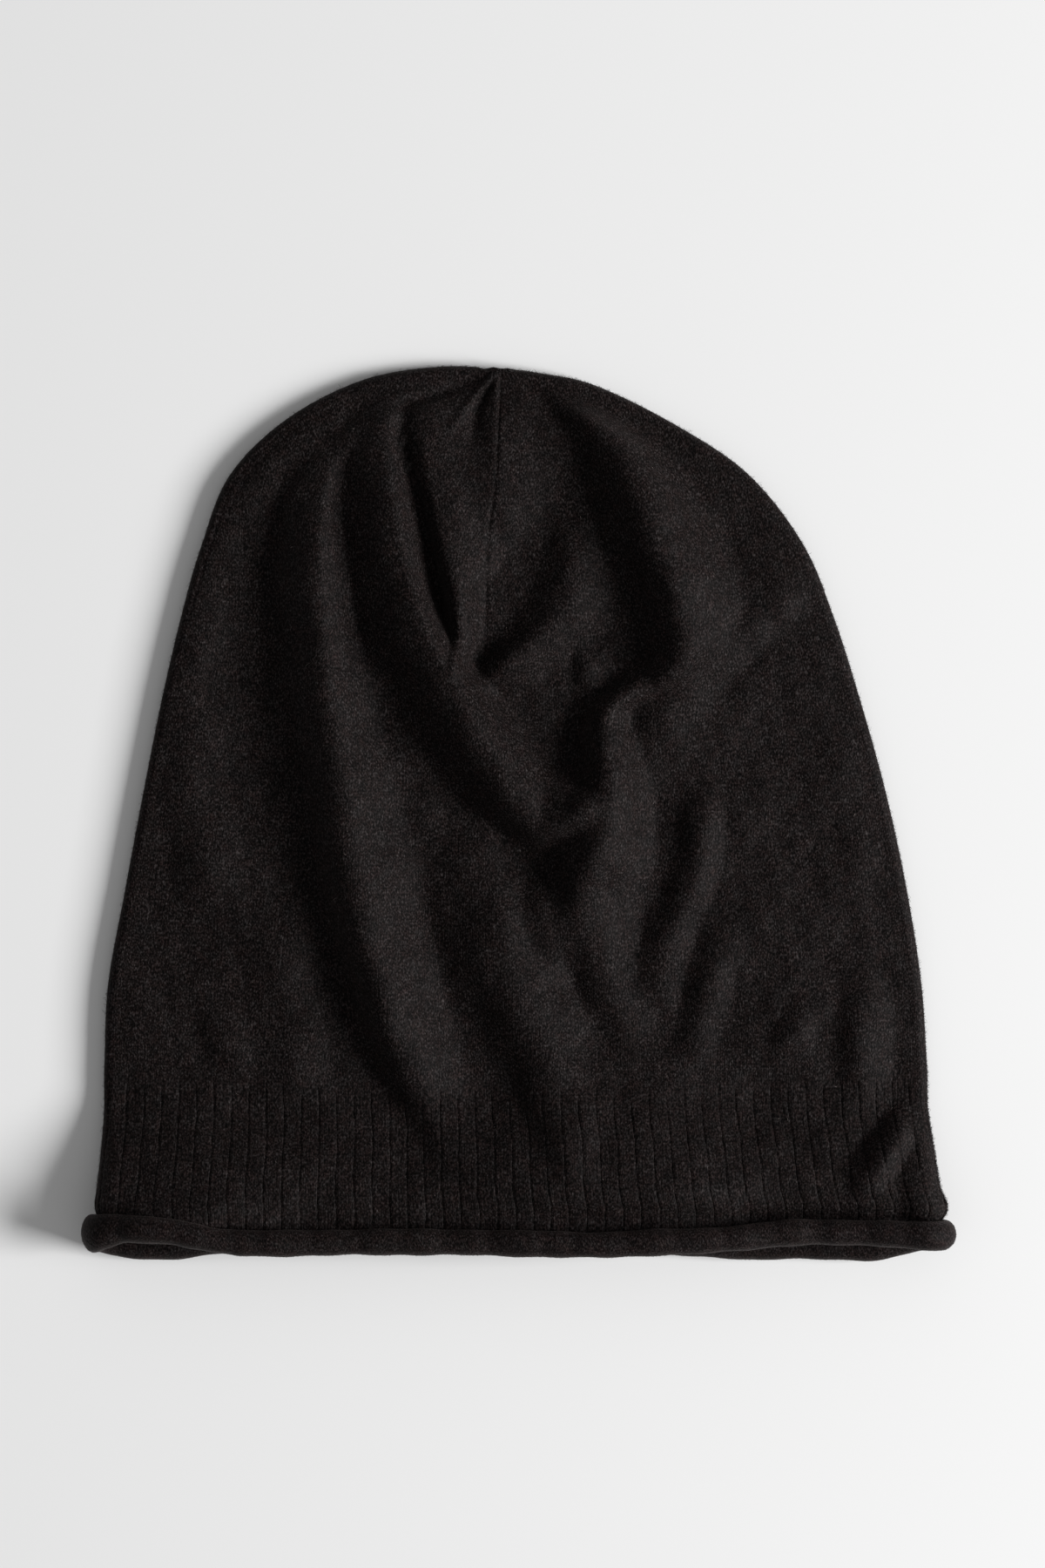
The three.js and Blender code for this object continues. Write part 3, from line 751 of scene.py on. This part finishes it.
def crown_stitches(rings, arc, seams):
    """Wale and course numbers at the corners of each quad of the crown.

    Wales run at an even spacing from the middle line of each quarter. Below the decreases a quarter
    holds the same count at every course; above them the spacing stays and wales end at the seams.
    """
    quarter = WALES / 4
    spans = np.diff(seams, axis=1)
    start = np.argmin(np.abs(rings[:, 0, 1] - SEAM_FROM_Y))
    spacing = spans / quarter
    spacing[start:] = spacing[start]
    middles = (seams[:, 1:] + seams[:, :-1]) / 2
    at = quad_corners(arc)
    face_arc = at.mean(axis=-1)
    face_seams = (seams[:-1] + seams[1:]) / 2
    wraps = face_arc < face_seams[:, :1]
    panel = (face_arc[..., None] >= face_seams[:, None, :]).sum(axis=-1) - 1
    panel = np.where(wraps, 3, np.clip(panel, 0, 3))
    at = at + np.where(wraps, (arc[:-1, -1:] + arc[1:, -1:]) / 2, 0)[..., None]
    row = np.arange(len(rings) - 1)[:, None, None]
    rows = row + np.array([0, 0, 1, 1])
    wale = (at - middles[rows, panel[..., None]]) / spacing[rows, panel[..., None]]
    wale += quarter * (panel[..., None] + 0.5)
    course = courses_up(rings)[rows] * np.ones_like(wale)
    return np.stack([wale, course], axis=-1).reshape(-1, 2)


def seam_relief(arc, seams, y):
    """A narrow groove along each line of decreases, with a low welt on both sides, faded at its ends."""
    away = np.abs(arc[:, :-1, None] - seams[:, None, :]).min(axis=2)
    begun, before_tip = ease_step((y - SEAM_FROM_Y + 6) / 14), ease_step((131 - y) / 12)
    return begun * before_tip * bells(SEAM_SECTION, away)


def gather_relief(arc, rings):
    """Small pleats that run out from the drawn-up tip, waves round it that fade with the distance."""
    girth = arc[:, -1:]
    from_tip = np.linalg.norm(rings - rings[-1:].mean(axis=1, keepdims=True), axis=2)
    pleats = np.cos(2 * np.pi * GATHER_PLEATS * arc[:, :-1] / girth + 1.3 * np.sin(from_tip / 4))
    return GATHER_HEIGHT * pleats * np.exp(-from_tip / GATHER_REACH)


def tip_nub(x, y):
    """How far the cloth at the tip stands out of the outline, towards +Y."""
    return bells(TIP_NUB, x) * ease_step((y - TIP_NUB_FROM_Y) / 4)


def make_crown():
    """The bag of plain stocking stitch, closed at the tip, hollow and open towards the ribs.

    The rows lie a little closer towards the tip, after a first narrow strip at the joint.
    """
    across, is_back = tube_columns(*CROWN_STRIPS)
    first = BAND_TOP_Y + JOIN_GAP / 2
    length = TIP[1] - first
    climb = 1 - (1 - np.arange(CROWN_ROWS) / CROWN_ROWS) ** 1.12
    climb = np.insert(climb, 1, EDGE_STRIP / length)
    centre_y = np.broadcast_to((first + length * climb)[:, None], (len(climb), len(across)))
    x, y = plan_on_course(centre_y, np.broadcast_to(across, centre_y.shape))
    rings = on_cloth(x, y + tip_nub(x, y), is_back)
    arc = arc_along_rings(rings)
    front_column = int(np.argmin(np.abs(across) + is_back))
    right_column = int(np.argmax(across))
    back_column = int(np.argmin(np.abs(across) + ~is_back))
    seams = seam_places(arc, y, front_column, right_column, back_column)
    normals = square_to_joint(ring_normals(rings), [0, 1])
    relief = seam_relief(arc, seams, y) + gather_relief(arc, rings) + fold_height(TIP_PLEATS, x, y)
    relief = np.where(is_back, np.minimum(relief, 0), relief)
    outer = rings + normals * (CROWN_WALL / 2 + relief)[..., None]
    inner = np.delete(rings - normals * CROWN_WALL / 2, 1, axis=0)[::CROWN_ROWS_PER_INNER]
    tip = np.array([*TIP, CROWN_WALL / 2 + SIDE_RADIUS])
    rise = np.array([0, CROWN_WALL / 2, 0])
    points, quads, triangles, rim = shell(outer, inner, np.stack([tip + rise, tip - rise]))
    piece = make_piece("crown_knit", points, quads, triangles, crown_stitches(rings, arc, seams), rim)
    return piece, outer, normals


def even_by_arc(down, across, is_back, shares):
    """Places of the columns at given shares of the way round each half, so that ribs are even.

    Each row is walked once round the folded cloth. The mean over the rows keeps the ribs straight.
    """
    arc = arc_along_rings(on_cloth(*plan_on_band(down, across, is_back), is_back))
    right = int(np.argmax(across))
    closed = np.append(across, across[0])
    rows = []
    for walked in arc:
        front = np.interp(walked[right] * shares, walked[: right + 1], closed[: right + 1])
        back_arc = walked[right] + (walked[-1] - walked[right]) * shares
        rows.append(np.concatenate([front, np.interp(back_arc, walked[right:], closed[right:])]))
    return np.mean(rows, axis=0), np.repeat([False, True], len(shares))


def make_rib_band():
    """The band: flat ribs of four wales between single purl wales, which sink as narrow grooves.

    The section across a groove is a bell curve. Its depth and its line waver a little along the rib.
    """
    down = np.insert(np.linspace(1, 0, BAND_ROWS), -1, EDGE_STRIP / (BAND_TOP_Y - HEM_Y))[:, None]

    # Columns crowd in towards the middle of each groove.
    step = np.arange(-STRIPS_PER_RIB // 2, STRIPS_PER_RIB // 2) / STRIPS_PER_RIB
    places = np.sign(step) * np.abs(2 * step) ** 1.7 / 2
    ribs = (np.arange(RIB_COUNT // 2)[:, None] + 0.5 + places).ravel()
    across, is_back = even_by_arc(down, *tube_columns(*BAND_STRIPS), ribs * 2 / RIB_COUNT)
    x, y = plan_on_band(down, across, is_back)
    y = y + np.where(down == 1, ROLL_NECK + HEM_GAP, 0) - np.where(down == 0, JOIN_GAP / 2, 0)
    rings = on_cloth(x, y, is_back)
    normals = square_to_joint(ring_normals(rings), [-2, -1])
    rib_width = arc_along_rings(rings)[:, -1:] / RIB_COUNT
    waver = np.random.default_rng(5).uniform(0, 2 * np.pi, (4, 1, RIB_COUNT))
    waver = np.repeat(waver, STRIPS_PER_RIB, axis=2)
    off_line = 0.09 * wave(y, 19, waver[0]) + 0.05 * wave(y, 4.7, waver[1])
    away = np.tile(places, RIB_COUNT) * rib_width + off_line
    groove = bells([(0, 1, RIB_GROOVE)], away)
    share = 0.76 + 0.16 * wave(y, 11, waver[1]) + 0.12 * wave(y, 3.9, waver[2])

    # Each groove begins at its own place a little below the crown, and runs out just above the roll.
    top = 0.035 + 0.03 * np.sin(waver[3])
    depth = RIB_DEPTH * share * ease_step((1 - down) / 0.05) * ease_step((down - top) / 0.06)
    outer = rings + normals * (CROWN_WALL / 2 - depth * groove)[..., None]
    inner = np.delete(rings + normals * (CROWN_WALL / 2 - BAND_WALL), -2, axis=0)[::BAND_ROWS_PER_INNER]
    points, quads, triangles, rim = shell(outer, inner)
    fraction = np.concatenate([np.tile(places, RIB_COUNT), places[:1]])
    rib = np.append(np.repeat(np.arange(RIB_COUNT), STRIPS_PER_RIB), RIB_COUNT)
    wale = ((rib + fraction) * WALES_PER_RIB + 0.5) * np.ones_like(down)
    course = courses_up(rings)[:, None] * np.ones_like(wale)
    uv = np.stack([quad_corners(wale), quad_corners(course)], axis=-1).reshape(-1, 2)
    return make_piece("rib_band_knit", points, quads, triangles, uv, rim), outer, normals


def roll_section(steps):
    """Section of the hem roll, out from the cloth and up to the tip: round first, then a tight core."""
    degrees = np.linspace(0, ROLL_TURN, steps)
    turn = np.radians(degrees)
    tight_from, tight_to = ROLL_TIGHTENS
    tighten = ease_step((degrees - tight_from) / (tight_to - tight_from))
    radius = ROLL_RADIUS - (ROLL_RADIUS - ROLL_CORE_RADIUS) * tighten
    out = np.concatenate([[0, 0], ROLL_RADIUS - radius * np.cos(turn)])
    up = np.concatenate([[ROLL_NECK, ROLL_NECK / 2], -radius * np.sin(turn)])
    face = np.stack([
        np.concatenate([[-1, -1], -np.cos(turn)]),
        np.concatenate([[0, 0], -np.sin(turn)]),
    ], axis=1)
    middle = np.stack([out, up], axis=1)
    walked = np.concatenate([[0], np.cumsum(np.linalg.norm(np.diff(middle, axis=0), axis=1))])
    section = np.concatenate([middle + face * BRIM_WALL / 2, (middle - face * BRIM_WALL / 2)[::-1]])
    return section, np.concatenate([walked, walked[::-1]])


def make_rolled_brim():
    """The hem, which curls outward on itself: the roll's section carried round the mouth.

    The roll swells and thins a little along its way, and it is tallest where it turns at the sides.
    """
    across, is_back = tube_columns(*BRIM_STRIPS)
    down = np.ones_like(across)
    x, y = plan_on_band(down, across, is_back)
    loop = on_cloth(x, y, is_back)
    before, after = np.roll(loop, 1, axis=0), np.roll(loop, -1, axis=0)
    along = (after - before)[:, [0, 2]]
    along /= np.linalg.norm(along, axis=1, keepdims=True)
    outward = np.stack([-along[:, 1], np.zeros(len(loop)), along[:, 0]], axis=1)
    section, walked = roll_section(ROLL_STEPS)

    # The first few millimetres of the cloth stay true to the band.
    free = ease_step(walked / 4)
    lumps = 0.035 * wave(x, 37, 1) + 0.03 * wave(x, 13.7, 2 + 2 * is_back)
    taller = lumps + bells(ROLL_SWELLS, x)
    out = section[:, 0] * (1 + lumps[:, None] * free)
    up = section[:, 1] * (1 + taller[:, None] * free)
    rings = loop[:, None] + outward[:, None] * out[..., None] + np.array([0, 1, 0]) * up[..., None]
    rings[..., 2] = np.maximum(rings[..., 2], LEAST_Z)
    rows, columns = rings.shape[:2]
    quads = grid_quads(rows, columns, 0, closed_rows=True, flip=True)
    loop_arc = arc_along_rings(loop[None])[0]
    wale = loop_arc / loop_arc[-1] * WALES
    course = np.append(walked, walked[0]) / COURSE_HEIGHT
    row, column = np.meshgrid(np.arange(rows), np.arange(columns), indexing="ij")
    corners = [(row + 1, column), (row + 1, column + 1), (row, column + 1), (row, column)]
    uv = np.stack([np.stack([wale[r], course[c]], axis=-1) for r, c in corners], axis=-2)
    piece = make_piece("rolled_brim_knit", rings.reshape(-1, 3), quads, (), uv.reshape(-1, 2))
    outer = rings[:, : columns // 2]
    normals = np.cross(np.gradient(outer, axis=1), np.gradient(outer, axis=0))
    return piece, outer, normals / np.linalg.norm(normals, axis=2, keepdims=True)


def make_bloom(name, face, normals, count, seed):
    """Loose fibres that stand off the knit, each a three-sided spike on a bent centre line.

    Roots are spread over the face by area, denser where the cloth is seen edge-on, and none are
    underneath. A fibre leaves along a random direction in the cloth, mostly lying, and rises a little.
    Its tone is a random number in its UV map.
    """
    rng = np.random.default_rng(seed)
    along, up = face[:-1, 1:] - face[:-1, :-1], face[1:, :-1] - face[:-1, :-1]
    edge_on = 1 + EDGE_ON_DENSITY * (1 - np.abs(normals[:-1, :-1, 2])) ** 2
    area = np.linalg.norm(np.cross(along, up), axis=2) * (normals[:-1, :-1, 2] > -0.25) * edge_on
    cell = np.searchsorted(np.cumsum(area) / area.sum(), rng.random(count))
    row, column = np.divmod(np.minimum(cell, area.size - 1), area.shape[1])
    a, b = rng.random((2, count, 1))

    def blend(grid):
        low = grid[row, column] * (1 - a) + grid[row, column + 1] * a
        high = grid[row + 1, column] * (1 - a) + grid[row + 1, column + 1] * a
        return low * (1 - b) + high * b

    root, normal = blend(face), blend(normals)
    normal /= np.linalg.norm(normal, axis=1, keepdims=True)
    lean = rng.normal(size=(count, 3))
    lean -= normal * (lean * normal).sum(axis=1, keepdims=True)
    lean /= np.linalg.norm(lean, axis=1, keepdims=True)
    side = np.cross(normal, lean)
    length = np.clip(rng.lognormal(-0.2, 0.4, (count, 1)), *FIBRE_LENGTHS)
    lift = rng.uniform(*FIBRE_LIFTS, (count, 1))
    bend = rng.uniform(*FIBRE_BENDS, (count, 1))
    start = root - normal * FIBRE_ROOT
    middle = root + length * (0.5 * lean + 0.6 * lift * normal + 0.3 * bend * side)
    end = root + length * (0.9 * lean + 0.75 * lift * normal + bend * side)
    turn = np.arange(3) * 2 * np.pi / 3
    ring = side[:, None] * np.cos(turn)[None, :, None] + normal[:, None] * np.sin(turn)[None, :, None]
    thick = FIBRE_RADIUS * rng.uniform(0.7, 1.3, (count, 1, 1))
    foot, waist = start[:, None] + ring * thick, middle[:, None] + ring * thick * 0.8
    points = np.concatenate([foot, waist, end[:, None]], axis=1)
    points[..., 2] = np.maximum(points[..., 2], LEAST_Z)

    # Each fibre has seven points: three at its foot, three at its waist and its end.
    first = 7 * np.arange(count)[:, None, None]
    sides = np.array([[k, (k + 1) % 3, (k + 1) % 3 + 3, k + 3] for k in range(3)])
    caps = np.array([[3, 4, 6], [4, 5, 6], [5, 3, 6], [2, 1, 0]])
    tone = rng.random(count)
    corner_tone = np.tile(np.repeat(tone, 12), 2)
    uv = np.stack([corner_tone, np.zeros_like(corner_tone)], axis=1)
    quads, triangles = (first + sides).reshape(-1, 4), (first + caps).reshape(-1, 3)
    return make_piece(name, points.reshape(-1, 3), quads, triangles, uv)


def linear_colour(hex_colour):
    """An sRGB hex colour as the linear colour that Blender's shaders take."""
    values = np.array([int(hex_colour[i : i + 2], 16) for i in (1, 3, 5)]) / 255
    linear = np.where(values <= 0.04045, values / 12.92, ((values + 0.055) / 1.055) ** 2.4)
    return (*linear.tolist(), 1.0)


def add_node(tree, kind, inputs=(), **settings):
    """Adds one node, sets its properties, and sets or links its inputs.

    Inputs come in the node's own order or by name. A node among them is linked by its first output.
    """
    made = tree.nodes.new(kind)
    for key, value in settings.items():
        setattr(made, key, value)
    for key, value in inputs.items() if isinstance(inputs, dict) else enumerate(inputs):
        source = value.outputs[0] if isinstance(value, bpy.types.Node) else value
        if isinstance(source, bpy.types.NodeSocket):
            tree.links.new(source, made.inputs[key])
        else:
            made.inputs[key].default_value = source
    return made


def new_material(name):
    """A material with an empty node tree."""
    material = bpy.data.materials.new(name)
    material.use_nodes = True
    material.node_tree.nodes.clear()
    return material


def cashmere_knit(name, purl_side=False, fleck_size=1.0, fleck_glint_contrast=3.4, brightness=1.0):
    """Near-black cashmere yarn, machine-knitted fine and brushed: dull, with a short mottled bloom.

    The stitches are a formula of the wale and course numbers in the UV map. Each wale is two legs that
    lean together, with a low place between them, and strands cross the legs once a course. The purl
    side shows them as slanting ridges. The fuzz over the stitches is on Object coordinates.
    """
    material = new_material(name)
    tree = material.node_tree
    uv = add_node(tree, "ShaderNodeUVMap", uv_map="stitches")
    wale, course, _ = add_node(tree, "ShaderNodeSeparateXYZ", [uv]).outputs

    # A leg is high in its middle, and a strand rises and sinks along it once a course.
    across = add_node(tree, MATH, [course, 0.5, wale], operation="MULTIPLY_ADD") if purl_side else wale
    place_in_wale = add_node(tree, MATH, [across], operation="FRACT")
    from_middle = add_node(tree, MATH, [place_in_wale, 2.0, -1.0], operation="MULTIPLY_ADD")
    side = add_node(tree, MATH, [from_middle], operation="ABSOLUTE")
    leg_angle = add_node(tree, MATH, [side, 0.8 * math.pi, 0.2 * math.pi], operation="MULTIPLY_ADD")
    leg = add_node(tree, MATH, [leg_angle], operation="SINE")
    strand_place = add_node(tree, MATH, [side, 0.55, course], operation="MULTIPLY_ADD")
    strand_angle = add_node(tree, MATH, [strand_place, 2 * math.pi], operation="MULTIPLY")
    strand_wave = add_node(tree, MATH, [strand_angle], operation="COSINE")
    strand = add_node(tree, MATH, [strand_wave, 0.25, 0.75], operation="MULTIPLY_ADD")
    stitch = add_node(tree, MATH, [leg, strand], operation="MULTIPLY")
    cell = add_node(tree, "ShaderNodeCombineXYZ", [across, strand_place])
    cell_number = add_node(tree, "ShaderNodeVectorMath", [cell], operation="FLOOR")
    chance = add_node(tree, "ShaderNodeTexWhiteNoise", {"Vector": cell_number}, noise_dimensions="2D")

    # The fibres are 0.016 mm thick, too fine to show, so the fuzz is drawn as flecks of 0.43 mm, about
    # the size of the tufts they gather in. Clumps of bloom are 2 mm wide, the warmer and cooler places
    # 3 mm and the worn places 9 mm.
    place = add_node(tree, "ShaderNodeTexCoord").outputs["Object"]
    drawn_out = add_node(tree, "ShaderNodeMapping", {"Vector": place, "Scale": (1.0, 0.6, 1.0)})
    flecks_per_metre = FLECKS_PER_METRE / fleck_size
    fuzz = add_node(tree, NOISE, {"Vector": drawn_out, "Scale": flecks_per_metre, "Detail": 0.0})
    clump = add_node(tree, NOISE, {"Vector": place, "Scale": 480.0, "Detail": 1.0})
    worn = add_node(tree, NOISE, {"Vector": place, "Scale": 110.0, "Detail": 2.0})
    hue = add_node(tree, NOISE, {"Vector": place, "Scale": 300.0, "Detail": 3.0})

    # Painted glints: the fuzz is raised to a power, so that a few tufts are painted bright as if they
    # caught the light, over a random darker tone of the fuzz.
    fuzz_doubled = add_node(tree, MATH, [fuzz, 2.0], operation="MULTIPLY")
    flecks_and_glints = add_node(tree, MATH, [fuzz_doubled, fleck_glint_contrast], operation="POWER")
    # Painted shade: the colour darkens in the low places between a stitch's legs and where its strand
    # sinks.
    stitch_floor = 1 - STITCH_MEAN * STITCH_PAINTED_SHADE
    stitch_painted_shade = add_node(tree, MATH, [stitch, STITCH_PAINTED_SHADE, stitch_floor], operation="MULTIPLY_ADD")
    chance_shade = add_node(tree, MATH, [chance, 0.3, 0.85], operation="MULTIPLY_ADD")
    patches = add_node(tree, MATH, [clump, worn], operation="ADD")
    patch_range, patch_floor = 0.9 * brightness, 0.1 * brightness
    patch_shade = add_node(tree, MATH, [patches, patch_range, patch_floor], operation="MULTIPLY_ADD")
    stitch_tone = add_node(tree, MATH, [flecks_and_glints, stitch_painted_shade], operation="MULTIPLY")
    place_tone = add_node(tree, MATH, [chance_shade, patch_shade], operation="MULTIPLY")
    tone = add_node(tree, MATH, [stitch_tone, place_tone], operation="MULTIPLY")

    # Painted glints and painted shade: bright flecks take the cooler black and the darker fuzz the
    # warmer one, over a random mix of the two.
    hue_share = add_node(tree, MATH, [hue, 1.6, -0.55], operation="MULTIPLY_ADD")
    tone_and_glint_coolness = add_node(tree, MATH, [flecks_and_glints, 0.22, hue_share], operation="MULTIPLY_ADD")
    yarn = add_node(tree, "ShaderNodeMix", {
        "Factor": tone_and_glint_coolness,
        "A": linear_colour(WARM_SHADE_BLACK),
        "B": linear_colour(COOL_GLINT_BLACK),
    }, data_type="RGBA", clamp_factor=True)
    shaded = {"Vector": yarn.outputs[2], "Scale": tone}
    colour = add_node(tree, "ShaderNodeVectorMath", shaded, operation="SCALE")
    stitch_height = add_node(tree, MATH, [stitch, STITCH_RELIEF], operation="MULTIPLY")
    height = add_node(tree, MATH, [fuzz, FUZZ_RELIEF, stitch_height], operation="MULTIPLY_ADD")
    bump = add_node(tree, "ShaderNodeBump", {"Height": height, "Strength": 1.0, "Distance": MM})

    # Light comes back out of the nap, so there is next to no highlight, only a weak bloom edge-on.
    shader = add_node(tree, "ShaderNodeBsdfPrincipled", {
        "Base Color": colour,
        "Roughness": 0.6,
        "Diffuse Roughness": 0.0,
        "Specular IOR Level": 0.05,
        "Sheen Weight": 0.06,
        "Sheen Roughness": 0.45,
        "Sheen Tint": linear_colour("#cfc0bc"),
        "Normal": bump,
    })
    add_node(tree, "ShaderNodeOutputMaterial", [shader])
    return material


def cashmere_fibres():
    """Single cashmere fibres out of the knit: most are dyed near black, and a few pale ones show."""
    material = new_material("cashmere_bloom")
    tree = material.node_tree
    uv = add_node(tree, "ShaderNodeUVMap", uv_map="stitches")
    tone = add_node(tree, "ShaderNodeSeparateXYZ", [uv])
    colour = add_node(tree, "ShaderNodeValToRGB", [tone])
    ramp = colour.color_ramp
    ramp.elements[0].color = linear_colour("#171211")
    ramp.elements[1].color = linear_colour("#8a7f7b")
    ramp.elements[0].position, ramp.elements[1].position = 0.0, 1.0
    for position, shade in ((0.7, "#1c1615"), (0.985, "#2c2524")):
        ramp.elements.new(position).color = linear_colour(shade)
    shader = add_node(tree, "ShaderNodeBsdfPrincipled", {
        "Base Color": colour,
        "Roughness": 0.6,
        "Specular IOR Level": 0.2,
    })
    add_node(tree, "ShaderNodeOutputMaterial", [shader])
    return material


def pale_table():
    """A matt white studio table top."""
    material = new_material("matt_white_table")
    tree = material.node_tree
    shader = add_node(tree, "ShaderNodeBsdfPrincipled", {
        "Base Color": linear_colour("#ebebeb"),
        "Roughness": 0.9,
        "Specular IOR Level": 0.1,
    })
    add_node(tree, "ShaderNodeOutputMaterial", [shader])
    return material


def make_table():
    """A flat square just under the hat, wide enough to fill the frame."""
    half, z = 3.0, -0.1 * MM
    corners = [(-half, -half, z), (half, -half, z), (half, half, z), (-half, half, z)]
    mesh = bpy.data.meshes.new("table_top")
    mesh.from_pydata(corners, [], [(0, 1, 2, 3)])
    table = bpy.data.objects.new("table_top", mesh)
    bpy.context.scene.collection.objects.link(table)
    mesh.materials.append(pale_table())


def add_softbox(name, azimuth, elevation, distance, size, watts):
    """A square area light that looks at the hat from a distance, at a bearing from +X towards +Y."""
    a, e = math.radians(azimuth), math.radians(elevation)
    place = Vector((math.cos(e) * math.cos(a), math.cos(e) * math.sin(a), math.sin(e))) * distance
    light = bpy.data.lights.new(name, "AREA")
    light.shape = "SQUARE"
    light.size = size
    light.energy = watts
    lamp = bpy.data.objects.new(name, light)
    lamp.location = place
    lamp.rotation_euler = (-place).to_track_quat("-Z", "Y").to_euler()
    bpy.context.scene.collection.objects.link(lamp)


def make_camera():
    """Straight down, so that the table fills the frame at the photograph's scale."""
    across = (FRAME_PIXELS[0] / 2 - HAT_CENTRE_PIXEL[0]) * PIXEL
    up = (HAT_CENTRE_PIXEL[1] - FRAME_PIXELS[1] / 2) * PIXEL
    data = bpy.data.cameras.new("overhead_camera")
    data.sensor_fit = "AUTO"
    data.sensor_width = 36
    data.lens = 120
    field = FRAME_PIXELS[1] * PIXEL * MM
    height_of_cloth = 10 * MM
    camera = bpy.data.objects.new("overhead_camera", data)
    camera.location = (across * MM, up * MM, field * data.lens / data.sensor_width + height_of_cloth)
    bpy.context.scene.collection.objects.link(camera)
    bpy.context.scene.camera = camera


def dress(piece, material, node=None):
    """Gives a finished piece its material and slot, and the frame node that it takes the place of."""
    piece.data.materials.append(material)
    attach(piece, "root")
    if node:
        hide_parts(node)


crown, crown_face, crown_normals = make_crown()
rib_band, band_face, band_normals = make_rib_band()
rolled_brim, brim_face, brim_normals = make_rolled_brim()
crown_bloom = make_bloom("crown_bloom", crown_face, crown_normals, CROWN_FIBRES, seed=21)
band_bloom = make_bloom("rib_band_bloom", band_face, band_normals, BAND_FIBRES, seed=22)
brim_bloom = make_bloom("rolled_brim_bloom", brim_face, brim_normals, BRIM_FIBRES, seed=23)

knit_face = cashmere_knit("cashmere_stocking_stitch")
rib_face = cashmere_knit("cashmere_rib", fleck_size=1.1, fleck_glint_contrast=3.0)
purl_face = cashmere_knit("cashmere_purl_side", purl_side=True, fleck_glint_contrast=2.8, brightness=1.12)
fibres = cashmere_fibres()
dress(crown, knit_face, node="crown")
dress(rib_band, rib_face, node="rib_band")
dress(rolled_brim, purl_face, node="rolled_brim")
dress(crown_bloom, fibres)
dress(band_bloom, fibres)
dress(brim_bloom, fibres)

# One large soft light low on the right, and a soft white room round it.
make_table()
make_camera()
add_softbox("window_side_softbox", azimuth=-9, elevation=28, distance=3.2, size=1.4, watts=166)
world = bpy.data.worlds.new("soft_room")
world.use_nodes = True
world.node_tree.nodes["Background"].inputs[0].default_value = linear_colour("#ffffff")
world.node_tree.nodes["Background"].inputs[1].default_value = 0.28
bpy.context.scene.world = world
bpy.context.scene.view_settings.view_transform = "Standard"
